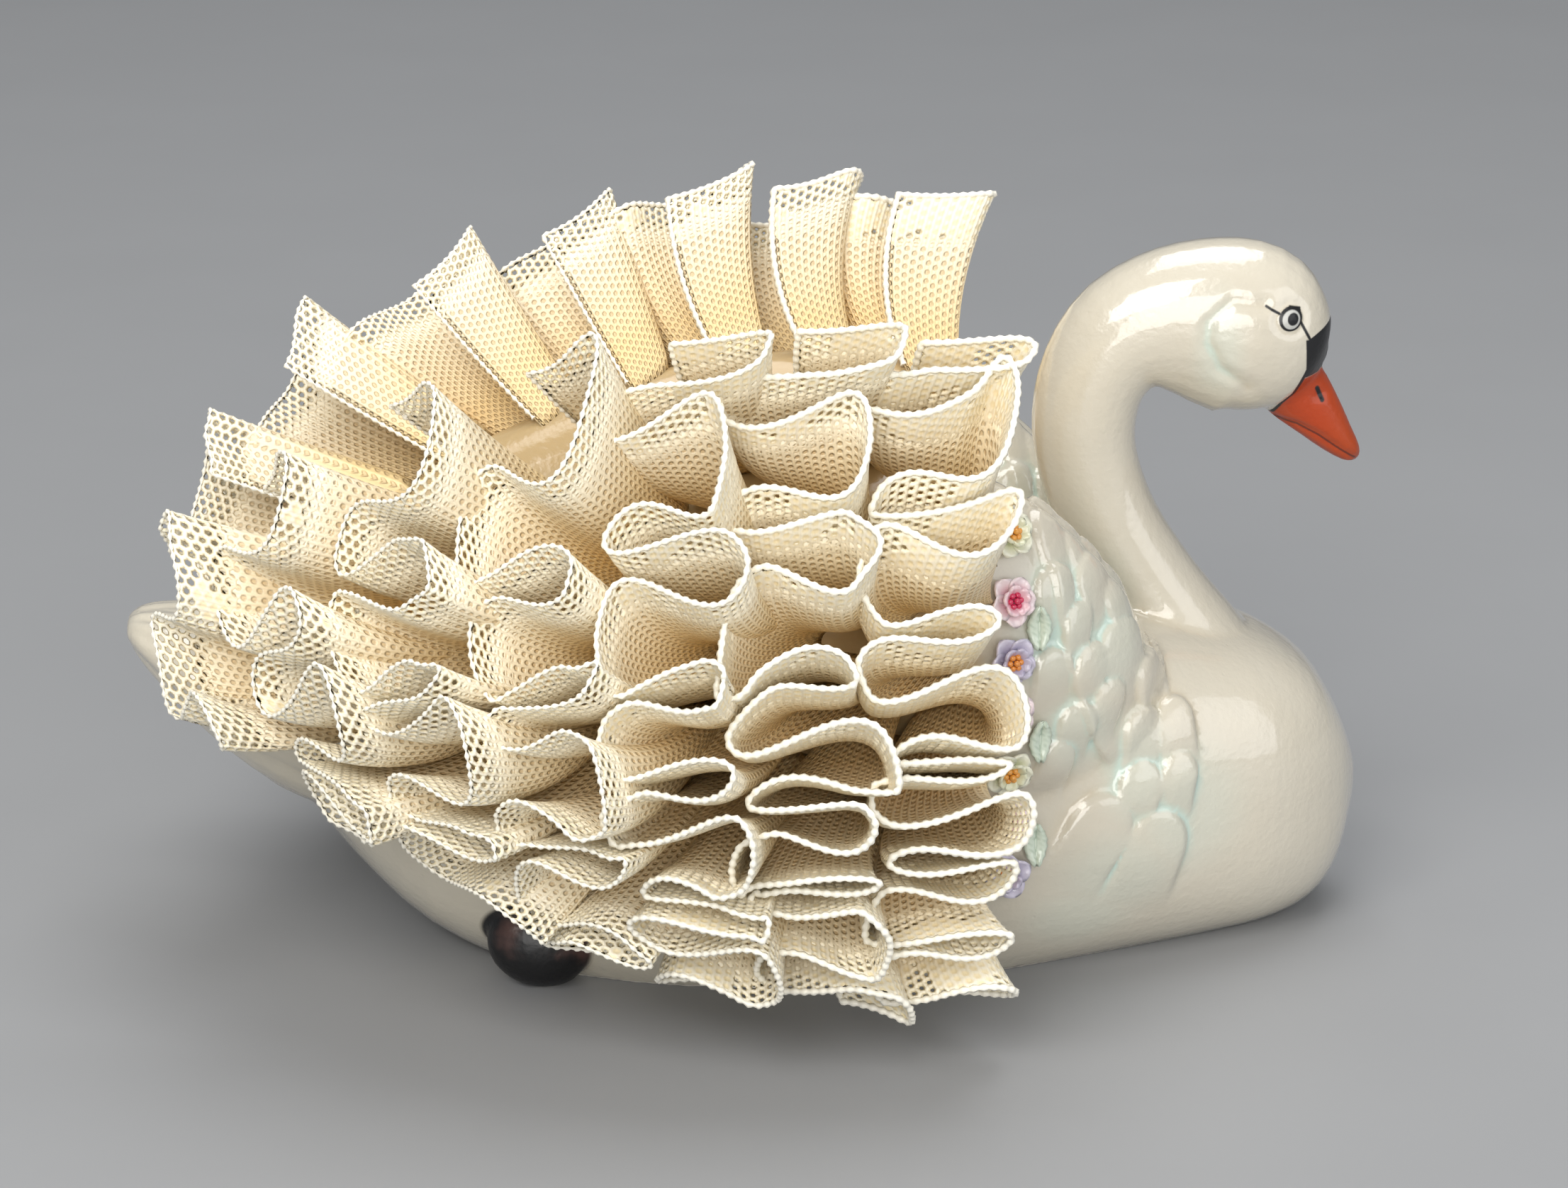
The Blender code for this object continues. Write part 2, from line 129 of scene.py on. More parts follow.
def newTree(name, kind, inputs, outputs):
    # a node group whose sockets are (name, kind) or (name, kind, starting value)
    tree = bpy.data.node_groups.new(name, kind)
    for direction, sockets in (("INPUT", inputs), ("OUTPUT", outputs)):
        for socketName, kindOfSocket, *start in sockets:
            socket = tree.interface.new_socket(socketName, in_out=direction,
                                               socket_type="NodeSocket" + kindOfSocket)
            if start:
                socket.default_value = start[0]
    board = NodeBoard(tree)
    return board, board.add("NodeGroupInput").outputs, board.add("NodeGroupOutput")


# Meshes

def newMesh(name, points, faces):
    mesh = bpy.data.meshes.new(name)
    mesh.from_pydata((np.asarray(points, float) * mm).tolist(), [], faces)
    mesh.validate()
    mesh.shade_smooth()
    return mesh


def newPiece(name, points, faces, finish=None):
    piece = bpy.data.objects.new(name, newMesh(name, points, faces))
    if finish:
        piece.data.materials.append(finish)
    bpy.context.scene.collection.objects.link(piece)
    return piece


def meshPoints(mesh):
    points = np.empty(len(mesh.vertices) * 3)
    mesh.vertices.foreach_get("co", points)
    return points.reshape(-1, 3) / mm


def meshNormals(mesh):
    normals = np.empty(len(mesh.vertices) * 3)
    mesh.vertex_normals.foreach_get("vector", normals)
    return normals.reshape(-1, 3)


def applied(piece):
    # the evaluated shape as a plain mesh, with no modifiers left
    shown = piece.evaluated_get(bpy.context.evaluated_depsgraph_get())
    mesh = bpy.data.meshes.new_from_object(shown)
    piece.modifiers.clear()
    old, piece.data = piece.data, mesh
    bpy.data.meshes.remove(old)
    return piece


def standFor(piece, node):
    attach(piece, "root")
    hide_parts(node)


def setValues(piece, name, values, kind="FLOAT"):
    # one value for each point, kept as an attribute that a material or node tree reads
    attribute = piece.data.attributes.new(name, kind, "POINT")
    attribute.data.foreach_set("vector" if kind == "FLOAT_VECTOR" else "value", np.ravel(values))


def sideName(side):
    return "right" if side < 0 else "left"


# Rings and lofts

def oval(centre, across, up, halfAcross, halfUp, squareness=2.0, count=24):
    angles = np.arange(count) * 2 * math.pi / count
    c, s = np.cos(angles), np.sin(angles)
    side = np.sign(c) * np.abs(c) ** (2 / squareness) * halfAcross
    rise = np.sign(s) * np.abs(s) ** (2 / squareness) * halfUp
    return np.array(centre) + np.outer(side, across) + np.outer(rise, up)


def through(stations, perGap=3):
    # the stations with smooth ones between them
    rows = np.array(stations, float)
    padded = np.vstack([2 * rows[0] - rows[1], rows, 2 * rows[-1] - rows[-2]])
    made = []
    for i in range(len(rows) - 1):
        a, b, c, d = padded[i:i + 4]
        for step in range(perGap):
            t = step / perGap
            made.append(0.5 * (2 * b + (c - a) * t + (2 * a - 5 * b + 4 * c - d) * t ** 2
                               + (3 * b - a - 3 * c + d) * t ** 3))
    made.append(rows[-1])
    return made


def loft(rings):
    count = len(rings[0])
    points = [tuple(p) for ring in rings for p in ring]
    faces = []
    for row in range(len(rings) - 1):
        for step in range(count):
            a, b = row * count + step, row * count + (step + 1) % count
            faces.append((a, b, b + count, a + count))
    for row, turned in ((0, True), (len(rings) - 1, False)):
        points.append(tuple(np.mean(rings[row], axis=0)))
        for step in range(count):
            a, b = row * count + step, row * count + (step + 1) % count
            faces.append((b, a, len(points) - 1) if turned else (a, b, len(points) - 1))
    return points, faces


def ellipsoid(centre, halfSizes, turn=None, count=12):
    rings = []
    for row in range(1, count):
        angle = math.pi * row / count
        rings.append(oval((0, 0, -math.cos(angle) * halfSizes[2]), (1, 0, 0), (0, 1, 0),
                          math.sin(angle) * halfSizes[0], math.sin(angle) * halfSizes[1], count=count * 2))
    points, faces = loft(rings)
    turned = np.array(points) @ np.array(turn or Matrix.Identity(3)).T + np.array(centre)
    return [tuple(p) for p in turned], faces


def joined(forms):
    points, faces = [], []
    for formPoints, formFaces in forms:
        start = len(points)
        points += list(formPoints)
        faces += [tuple(start + i for i in face) for face in formFaces]
    return points, faces


def closedSheet(grid, thickness):
    # a thin closed shell over a grid of points, its two faces meeting all round the border
    rows, columns = grid.shape[:2]
    normals = np.cross(np.gradient(grid, axis=0), np.gradient(grid, axis=1))
    normals /= np.linalg.norm(normals, axis=2, keepdims=True) + 1e-9
    inner = np.zeros((rows, columns), bool)
    inner[1:-1, 1:-1] = True
    shift = normals * (thickness / 2) * inner[..., None]
    front = np.arange(rows * columns).reshape(rows, columns)
    back = front.copy()
    back[inner] = rows * columns + np.arange(inner.sum())
    points = np.vstack([(grid + shift).reshape(-1, 3), (grid - shift)[inner]])
    faces = []
    for index, turned in ((front, False), (back, True)):
        corners = [index[:-1, :-1], index[1:, :-1], index[1:, 1:], index[:-1, 1:]]
        quads = np.stack(corners[::-1] if turned else corners, axis=-1).reshape(-1, 4)
        faces += quads.tolist()
    return points, faces


def bothFaces(values, rows, columns):
    # values of the grid's points, then those of the back face of a closed sheet over it
    values = np.asarray(values)
    inner = values.reshape(rows, columns, *values.shape[1:])[1:-1, 1:-1]
    return np.concatenate([values, inner.reshape(-1, *values.shape[1:])])


# The casting: body, tail, wings, neck, head, beak and feet

casting = {
    # stations of the trunk: x, low, high, half width
    "trunk": [(-72, 25, 47, 13), (-64, 15, 53, 22), (-52, 3.5, 57, 29.5), (-35, -5, 59, 34),
              (-12, -11, 60, 38.5), (12, -12, 60, 40), (32, -9, 58, 39), (48, -6, 56, 36), (62, -4, 54, 32),
              (74, -2.6, 51, 27.5), (84, -1.2, 47.5, 23), (92, 1.6, 42, 17), (97, 7.5, 34, 11),
              (100, 18, 26, 4)],
    "trunkSquareness": 2.5,
    # x, middle z, half height and half width
    "tail": [(-50, 36, 17, 22), (-64, 37, 16, 23), (-76, 40, 14, 21), (-87, 45, 9.5, 17),
             (-94, 49, 6, 11.5), (-98, 51.2, 3.4, 7), (-99.8, 52, 1.4, 3.5)],
    # x, distance from the middle plane, middle z, half thickness and half height
    "wing": [(-74, 10, 52, 2.5, 4), (-68, 12.5, 53, 7, 9), (-57, 17, 53.5, 10.5, 14), (-44, 21.5, 54, 13, 20),
             (-28, 26, 54, 15, 26), (-10, 29, 54, 16, 31), (10, 30.5, 54, 16.5, 33), (26, 30, 54, 16, 32),
             (38, 28, 53, 14, 29), (50, 25, 48, 11.5, 24), (61, 21, 41, 8.5, 16), (68, 17, 34, 2.5, 5)],
    # middle line of neck and beak: x, z, half height and half width
    "neck": [(79, 21, 16, 18), (77, 33.5, 13, 16), (73.5, 43.5, 9.8, 13), (66.6, 54.3, 8.2, 9.8),
             (59.5, 65.5, 8.1, 8.8), (55.4, 76.2, 8.2, 8.5), (54.6, 84.4, 8.5, 8.7), (56.3, 91.8, 8.9, 9),
             (60.8, 97.6, 10, 9.4), (67.5, 99.8, 12, 10.2), (74.5, 99.6, 13.8, 11.2),
             (80.6, 98.2, 14.4, 11.6), (85.6, 95.2, 12.2, 10.4), (89.2, 92.8, 8.8, 8), (91.4, 91.4, 4.2, 4)],
    "beak": [(85.5, 91.6, 5.8, 5.4), (89.2, 87.5, 5.5, 5.1), (92.4, 83.8, 4.4, 4.4), (95.3, 80.3, 3.2, 3.6),
             (97.9, 77.5, 2, 2.6), (99.2, 76.2, 0.9, 1.2)],
    # centre and half sizes
    "knob": ((91.0, 0, 95.4), (2.9, 4.4, 3.9)),
    "foot": ((-35, 29, 7), (8.5, 5.5, 7)),
    "footTurn": 20,
    # x, z, width, length and lean of each carved shoulder feather
    "feathers": [(46, 74.5, 6, 10, 12), (50.5, 72, 5.5, 12, 20), (45.5, 65.5, 6, 9.5, 8),
                 (52.5, 64.5, 6, 11, 18), (57.5, 60.5, 5.5, 11, 25), (48.8, 60, 5, 8.5, -8),
                 (45, 53.5, 6, 9, 0), (51, 53, 6, 9, -12), (57, 53.5, 7.5, 12, 15), (62.5, 48, 5.5, 9, 12),
                 (54, 47, 5.5, 8.5, -15), (49, 44, 6, 9, -12),
                 (66.5, 39.5, 6.5, 9.5, 8), (60.5, 39.5, 6.5, 10, 0), (45.8, 38, 6, 9, -15),
                 (66.5, 32, 6.5, 9, -8), (60, 31, 7.5, 10, -12), (53, 25, 11, 13, -30),
                 (62.5, 21, 11, 13, -15)],
    "featherRise": 1.5,
    # x and z of the wing shell's front edge
    "wingEdge": [(44, 72), (46, 62), (48, 53), (51, 44), (55, 36.5)],
    "wingEdgeRise": 1.0,
    "grain": 0.7,
    "smoothing": 4,
    "keptShare": 0.36,
    "tailRidge": 0.55,
    "tailRidges": 11,
    # x and z of what is carved on the head, then the depth and half width of its grooves
    "eye": (86.0, 102.5),
    "cheekGroove": [(81.8, 105), (76.7, 105.7), (72.7, 102.4), (72.5, 99), (74.7, 94.7), (79.4, 91.1)],
    "gape": [(84.3, 83.9), (88.7, 83.1), (92.2, 81.2), (95.8, 78.6), (98.7, 76.6)],
    "nostril": (92.1, 88.2),
    "cheekCut": (0.55, 1.1),
    "gapeCut": (0.5, 0.55),
    "eyeCut": (0.3, 0.6),
    "eyeRise": (0.45, 1.5),
    "nostrilCut": 0.7,
    "nostrilHalf": (1.3, 0.7),
}


def bentForm(stations):
    rows = through(stations)
    rings = []
    for i, (x, z, halfHeight, halfWidth) in enumerate(rows):
        before, after = rows[max(i - 1, 0)], rows[min(i + 1, len(rows) - 1)]
        along = Vector((after[0] - before[0], 0, after[1] - before[1])).normalized()
        rings.append(oval((x, 0, z), (0, 1, 0), (-along.z, 0, along.x), halfWidth, halfHeight))
    return loft(rings)


def surfaceOf(points, faces):
    return BVHTree.FromPolygons([Vector(p) for p in points], faces)


def outerPoint(surface, side, x, z):
    spot, normal, _, _ = surface.ray_cast(Vector((x, side * 150, z)), Vector((0, -side, 0)))
    if not spot:
        spot, normal, _, _ = surface.find_nearest(Vector((x, side * 30, z)))
    return spot, normal if normal.y * side > 0 else -normal


def featherRelief(x, z, feather):
    # a scale whose upper edge stands proud and whose lower end runs out
    middle, height, width, length, lean = feather
    c, s = math.cos(math.radians(lean)), math.sin(math.radians(lean))
    across = ((x - middle) * c + (z - height) * s) / (width / 2)
    down = (-(x - middle) * s + (z - height) * c - (length - width) / 2) / (width / 2)
    away = np.hypot(across, np.maximum(down, 0) * 0.85)
    crown = 1 - 0.25 * np.clip(away, 0, 1) ** 2
    return crown * (1 - ease(away, 0.86, 1.12)) * ease(down, -1.9 * length / width, 0.1)


def castingForms():
    trunk = [oval((x, 0, (low + high) / 2), (0, 1, 0), (0, 0, 1), half, (high - low) / 2,
                  casting["trunkSquareness"], 60)
             for x, low, high, half in through(casting["trunk"])]
    tail = [oval((x, 0, middle), (0, 1, 0), (0, 0, 1), half, rise)
            for x, middle, rise, half in through(casting["tail"])]
    forms = [loft(trunk), loft(tail), bentForm(casting["neck"]), bentForm(casting["beak"])]
    for side in (-1, 1):
        forms.append(loft([oval((x, side * away, middle), (0, 1, 0), (0, 0, 1), thick, rise, count=40)
                           for x, away, middle, thick, rise in through(casting["wing"])]))
    for side in (-1, 1):
        (x, away, z), halfSizes = casting["foot"]
        turn = Matrix.Rotation(math.radians(casting["footTurn"]), 3, "Y")
        forms.append(ellipsoid((x, side * away, z), halfSizes, turn))
    forms.append(ellipsoid(*casting["knob"]))
    return joined(forms)


def ease(values, start, end):
    share = np.clip((values - start) / (end - start), 0, 1)
    return share * share * (3 - 2 * share)


def lineDistance(points, corners):
    # distance in the XZ plane from each point to a line through the corners
    flat = points[:, [0, 2]]
    best = np.full(len(flat), 1e9)
    for start, end in zip(corners[:-1], corners[1:]):
        start, end = np.array(start), np.array(end)
        along = np.clip((flat - start) @ (end - start) / ((end - start) @ (end - start)), 0, 1)
        best = np.minimum(best, np.linalg.norm(flat - start - along[:, None] * (end - start), axis=1))
    return best


def carve(points, normals):
    # relief finer than the forms: tail ridges, eye, cheek groove, gape and nostrils
    rise = np.zeros(len(points))
    x, y, z = points.T
    tail = through(casting["tail"], 6)
    middle = np.interp(-x, [-row[0] for row in tail], [row[1] for row in tail])
    angle = np.arctan2(z - middle, np.abs(y) * 0.9)
    ridges = np.abs(np.cos(angle * casting["tailRidges"] / 2 + 0.25 * np.sin(x * 0.35)))
    rise += casting["tailRidge"] * (ridges - 0.6) * ease(-x, 60, 74) * (1 - ease(-x, 96, 100))
    flank = ease(np.abs(y), 12, 20) * ease(np.abs(normals[:, 1]), 0.1, 0.35)
    scales = np.max([featherRelief(x, z, feather) for feather in casting["feathers"]], axis=0)
    rise += casting["featherRise"] * flank * scales
    edge = casting["wingEdge"]
    past = x - np.interp(z, [z for x, z in edge[::-1]], [x for x, z in edge[::-1]])
    along = ease(z, 35, 39) * (1 - ease(z, 69, 74))
    behind = ease(past, -0.5, 0.5) * np.exp(-np.clip(past, 0, None) / 5)
    rise += casting["wingEdgeRise"] * flank * along * behind
    head = (x > 68) & (z > 70) & (np.abs(y) > 0.5)
    cheek = head * ease(np.abs(y), 5, 8)
    for line, (depth, halfWidth), there in ((casting["cheekGroove"], casting["cheekCut"], cheek),
                                            (casting["gape"], casting["gapeCut"], head)):
        rise -= depth * np.exp(-(lineDistance(points, line) / halfWidth) ** 2) * there
    fromEye = np.hypot(x - casting["eye"][0], z - casting["eye"][1])
    eyeRise, eyeHalf = casting["eyeRise"]
    lidCut, lidHalf = casting["eyeCut"]
    eye = eyeRise * np.exp(-(fromEye / eyeHalf) ** 4) - lidCut * np.exp(-((fromEye - 2.4) / lidHalf) ** 2)
    rise += eye * head * (np.abs(y) > 6)
    halfX, halfZ = casting["nostrilHalf"]
    nostril = np.hypot((x - casting["nostril"][0]) / halfX, (z - casting["nostril"][1]) / halfZ)
    rise -= casting["nostrilCut"] * np.exp(-nostril ** 2) * head * (np.abs(y) > 2)
    return points + normals * rise[:, None]


def hollows(mesh, points, normals, rounds=14):
    # how far each point lies below its neighbourhood: positive in creases
    edges = np.empty(len(mesh.edges) * 2, int)
    mesh.edges.foreach_get("vertices", edges)
    a, b = edges.reshape(-1, 2).T
    count = np.bincount(np.r_[a, b], minlength=len(points))[:, None]
    smooth = points.copy()
    for _ in range(rounds):
        total = np.zeros_like(smooth)
        np.add.at(total, a, smooth[b])
        np.add.at(total, b, smooth[a])
        smooth = 0.5 * smooth + 0.5 * total / np.maximum(count, 1)
    return ((smooth - points) * normals).sum(1)


def makeCasting(finish):
    points, faces = castingForms()
    piece = newPiece("swan_casting", points, faces, finish)
    skin = piece.modifiers.new("skin", "REMESH")
    skin.mode = "VOXEL"
    skin.voxel_size = casting["grain"] * mm
    skin.use_smooth_shade = True
    even = piece.modifiers.new("even", "SMOOTH")
    even.factor = 0.5
    even.iterations = casting["smoothing"]
    applied(piece)
    mesh = piece.data
    points = carve(meshPoints(mesh), meshNormals(mesh))
    hollow = hollows(mesh, points, meshNormals(mesh))
    points[:, 2] = np.maximum(points[:, 2], 0)  # the base is flat
    mesh.vertices.foreach_set("co", (points * mm).ravel())
    setValues(piece, "hollow", hollow)
    mesh.update()
    piece.modifiers.new("fewer", "DECIMATE").ratio = casting["keptShare"]
    applied(piece)
    piece.data.shade_smooth()
    return piece


# Shader groups: each takes a place in millimetres or a vector, and gives a mask or a height

def paintedSpot():
    # 1 inside an oval on the side of the swan, seen along Y
    board, take, give = newTree("paintedSpot", "ShaderNodeTree",
                                [("Place", "Vector"), ("Centre", "Vector"),
                                 ("Half Size", "Vector", (1, 1, 1)), ("Softness", "Float", 0.1)],
                                [("Mask", "Float")])
    away = board.vector("DIVIDE", board.vector("SUBTRACT", take["Place"], take["Centre"]), take["Half Size"])
    distance = board.vector("LENGTH", away)
    inside = board.ramp(distance, board.plus(1, take["Softness"]), board.minus(1, take["Softness"]), True)
    board.feed(give.inputs[0], inside)
    return board.tree


def paintedLine():
    # 1 along a brush stroke between two places
    board, take, give = newTree("paintedLine", "ShaderNodeTree",
                                [("Place", "Vector"), ("Start", "Vector"), ("End", "Vector"),
                                 ("Half Width", "Float", 0.3), ("Softness", "Float", 0.1)],
                                [("Mask", "Float")])
    line = board.vector("SUBTRACT", take["End"], take["Start"])
    away = board.vector("SUBTRACT", take["Place"], take["Start"])
    share = board.over(board.vector("DOT_PRODUCT", away, line), board.vector("DOT_PRODUCT", line, line))
    share = board.add("ShaderNodeClamp", {0: share}).outputs[0]
    scaled = board.add("ShaderNodeVectorMath", {0: line, "Scale": share}, operation="SCALE").outputs[0]
    distance = board.vector("LENGTH", board.vector("SUBTRACT", away, scaled))
    inside = board.ramp(distance, board.plus(take["Half Width"], take["Softness"]),
                        board.minus(take["Half Width"], take["Softness"]), True)
    board.feed(give.inputs[0], inside)
    return board.tree


def glazeSkin():
    # the faint waviness, pinholes and colour pooling of a fired glaze
    board, take, give = newTree("glazeSkin", "ShaderNodeTree",
                                [("Place", "Vector"), ("Speckle", "Float", 0.0)],
                                [("Height", "Float"), ("Cloud", "Float")])
    wide = board.add("ShaderNodeTexNoise", {"Vector": take["Place"], "Scale": 0.12, "Detail": 3.0})
    fine = board.add("ShaderNodeTexNoise", {"Vector": take["Place"], "Scale": 0.9, "Detail": 2.0})
    dots = board.add("ShaderNodeTexVoronoi", {"Vector": take["Place"], "Scale": 0.22, "Randomness": 1.0})
    speck = board.times(board.ramp(dots.outputs["Distance"], 0.075, 0.03), take["Speckle"])
    waves = board.plus(fine.outputs[0], board.times(wide.outputs[0], 2.0))
    board.feed(give.inputs["Height"], board.minus(waves, board.times(speck, 0.5)))
    board.feed(give.inputs["Cloud"], wide.outputs[0])
    return board.tree


groups = {"spot": paintedSpot(), "line": paintedLine(), "glaze": glazeSkin()}


def group(board, name, inputs):
    node = board.add("ShaderNodeGroup")
    node.node_tree = groups[name]
    for key, value in inputs.items():
        board.feed(node.inputs[key], value)
    return node.outputs


def mix(board, share, under, over):
    node = board.add("ShaderNodeMix", data_type="RGBA")
    board.feed(node.inputs[0], share)
    for socket, value in ((node.inputs[6], under), (node.inputs[7], over)):
        board.feed(socket, value if isinstance(value, bpy.types.NodeSocket) else (*value, 1))
    return node.outputs[2]


def newFinish(name, **constants):
    finish = bpy.data.materials.new(name)
    finish.use_nodes = True
    board = NodeBoard(finish.node_tree)
    shader = finish.node_tree.nodes["Principled BSDF"]
    for key, value in constants.items():
        shader.inputs[key].default_value = value
    place = board.vector("MULTIPLY", board.add("ShaderNodeTexCoord").outputs["Object"], (1000, 1000, 1000))
    return finish, board, shader, place


def addBump(board, shader, height, depth, strength=1.0):
    bump = board.add("ShaderNodeBump", {"Height": height, "Distance": depth * mm, "Strength": strength})
    board.feed(shader.inputs["Normal"], bump.outputs[0])


bodyPaint = {
    "ivory": (0.60, 0.56, 0.465),
    # painted shade on the wing between the feet of the lace, where it lies in shadow under the strips: its
    # colour, front limit in x and lower limit line
    "underLace": (0.50, 0.36, 0.18),
    "laceFront": 33.5,
    "laceLow": 34,
    "laceSlope": 0.27,
    "pooled": (0.56, 0.49, 0.36),
    "aqua": (0.53, 0.67, 0.60),
    "beak": (0.40, 0.042, 0.002),
    "beakEdge": (0.39, 0.05, 0.004),
    "black": (0.004, 0.004, 0.005),
    # z and x of the edge between face and beak, and the knob's reach in z
    "faceEdge": [(82.4, 82.7), (84.7, 84.5), (87.3, 85.7), (89.2, 87.4), (93.7, 89.3), (98.6, 89.0)],
    "knobFrom": 92.1,
    "knobTo": 98.8,
    "iris": (0.50, 0.50, 0.47),
    # brown painted on the black feet as their highlights
    "footSheen": (0.16, 0.08, 0.065),
    "unglazed": (0.74, 0.70, 0.63),
    # x and z of brush strokes, from and to, with their half width
    "nostril": ((91.6, 89.3), (92.5, 87.3), 0.38),
    "eyeStrokes": [((84.2, 103.4), (82.0, 104.7), 0.22), ((87.5, 103.7), (87.7, 101.8), 0.26),
                   ((87.7, 101.8), (89.3, 98.9), 0.24), ((85.9, 104.3), (87.5, 103.9), 0.26)],
    # centre and half size of the black paint on each foot
    "foot": ((-35.5, 29.5, 7.5), (9.4, 7.2, 8.4)),
    # x, z and half size of the airbrushed aqua touches
    "touches": [(46, 62, 7, 9), (69, 27, 8, 9), (57, 18, 9, 7), (51, 11, 8, 5), (50, 44, 6, 6),
                (60, 35, 5, 8), (56, 57, 5, 7), (74.5, 97, 3.5, 9)],
}


def bodyGlaze():
    finish, board, shader, place = newFinish("swanGlaze")
    shader.inputs["Coat Roughness"].default_value = 0.04
    x, y, z = board.parts(place)
    away = board.calc("ABSOLUTE", y)
    side = board.xyz(x, 0.0, z)  # the same paint on both sides
    skin = group(board, "glaze", {"Place": place, "Speckle": 0.6})
    crease = board.ramp(board.attribute("hollow"), 0.02, 0.30)

    def spot(centre, half, softness):
        return group(board, "spot", {"Place": side, "Centre": (centre[0], 0, centre[1]),
                                     "Half Size": (half[0], 1, half[1]), "Softness": softness})[0]

    def stroke(start, end, halfWidth, softness=0.12):
        return group(board, "line", {"Place": side, "Start": (start[0], 0, start[1]),
                                     "End": (end[0], 0, end[1]), "Half Width": halfWidth,
                                     "Softness": softness})[0]

    def either(*masks):
        return reduce(board.most, masks)

    def both(*masks):
        return reduce(board.times, masks)

    def above(value, limit, softness):
        return board.ramp(value, limit - softness, limit + softness, True)

    def below(value, limit, softness):
        return board.minus(1.0, above(value, limit, softness))

    colour = mix(board, board.times(skin["Cloud"], 0.25), bodyPaint["ivory"], bodyPaint["pooled"])
    colour = mix(board, board.times(crease, 0.6), colour, bodyPaint["pooled"])
    touches = either(*[spot((cx, cz), (rx, rz), 0.6) for cx, cz, rx, rz in bodyPaint["touches"]])
    aqua = both(touches, board.plus(0.22, board.times(crease, 0.7)), above(away, 8, 3))
    colour = mix(board, aqua, colour, bodyPaint["aqua"])

    # painted shade: the wing under the lace is coloured dark golden brown, like the shadow seen in the gaps
    # between the strips, and its coat is thinned
    height = board.plus(z, board.times(x, bodyPaint["laceSlope"]))
    underLace = both(above(away, 13, 3), below(x, bodyPaint["laceFront"], 1.5),
                     above(height, bodyPaint["laceLow"], 1.5), above(x, -88, 3))
    colour = mix(board, underLace, colour, bodyPaint["underLace"])

    # beak, knob, the black line between them and the face, and the eye
    corners = bodyPaint["faceEdge"]
    border = corners[0][1]
    for (z0, x0), (z1, x1) in zip(corners[:-1], corners[1:]):
        border = board.plus(border, board.ramp(z, z0, z1, high=x1 - x0))
    pastBorder = board.minus(x, border)
    high = above(z, 74, 0.5)
    knobFoot, knobTop = bodyPaint["knobFrom"], bodyPaint["knobTo"]
    top = board.minus(z, board.times(board.minus(x, 89.2), 0.45))
    beak = both(above(pastBorder, 0.0, 0.12), high, below(z, knobFoot, 0.3))
    beakTone = board.plus(x, board.times(skin["Cloud"], 3.0))
    beakColour = mix(board, above(beakTone, 96.5, 4), bodyPaint["beak"], bodyPaint["beakEdge"])
    colour = mix(board, beak, colour, beakColour)
    knob = both(above(pastBorder, -0.25, 0.12), above(z, knobFoot, 0.15), below(top, knobTop, 0.12))
    edgeLine = both(below(board.calc("ABSOLUTE", pastBorder), 0.34, 0.12), above(z, 84.7, 0.2),
                    below(z, knobTop, 0.2))
    gapeLines = zip(casting["gape"][:-1], casting["gape"][1:])
    gape = board.times(either(*[stroke(start, end, 0.16, 0.1) for start, end in gapeLines]), 0.7)
    nostril = stroke(*bodyPaint["nostril"], 0.14)
    headOnly = both(high, above(x, 70, 1))
    ex, ez = casting["eye"]
    onCheek = above(away, 5, 0.5)
    ring = both(spot((ex, ez), (2.0, 1.95), 0.06), onCheek)
    iris = both(spot((ex + 0.05, ez - 0.05), (1.5, 1.5), 0.08), onCheek)
    pupil = both(spot((ex + 0.3, ez + 0.05), (0.92, 1.0), 0.12), onCheek)
    lines = both(either(*[stroke(*line) for line in bodyPaint["eyeStrokes"]]), above(away, 4, 0.5))
    black = both(either(edgeLine, knob, gape, nostril, ring, lines), headOnly)
    colour = mix(board, black, colour, bodyPaint["black"])
    colour = mix(board, iris, colour, bodyPaint["iris"])
    colour = mix(board, pupil, colour, bodyPaint["black"])

    # feet: black paint, with brown patches in a noise pattern painted as their highlights
    footCentre, footHalfSize = bodyPaint["foot"]
    foot = group(board, "spot", {"Place": board.xyz(x, away, z), "Centre": footCentre,
                                 "Half Size": footHalfSize, "Softness": 0.06})[0]
    paintedSheen = board.times(above(skin["Cloud"], 0.60, 0.10), 0.5)
    colour = mix(board, foot, colour, mix(board, paintedSheen, bodyPaint["black"], bodyPaint["footSheen"]))

    base = board.minus(1.0, above(z, 0.35, 0.1))
    colour = mix(board, base, colour, bodyPaint["unglazed"])
    board.feed(shader.inputs["Base Color"], colour)
    painted = either(board.times(beak, 0.9), black, foot)
    rough = board.plus(board.plus(0.22, board.times(base, 0.5)), board.times(painted, 0.2))
    board.feed(shader.inputs["Roughness"], rough)
    bare = either(base, board.times(underLace, 0.7), board.times(painted, 0.85))
    board.feed(shader.inputs["Coat Weight"], board.minus(1.0, bare))
    addBump(board, shader, skin["Height"], 0.10)
    return finish


swanGlaze = bodyGlaze()
swan = makeCasting(swanGlaze)
swanPoints, swanFaces = meshPoints(swan.data), [tuple(p.vertices) for p in swan.data.polygons]
swanSurface = surfaceOf(swanPoints, swanFaces)
standFor(swan, "swan_body")
print("casting made:", len(swanFaces), "faces")


# Lace: gathered strips of net, dipped in slip and fired

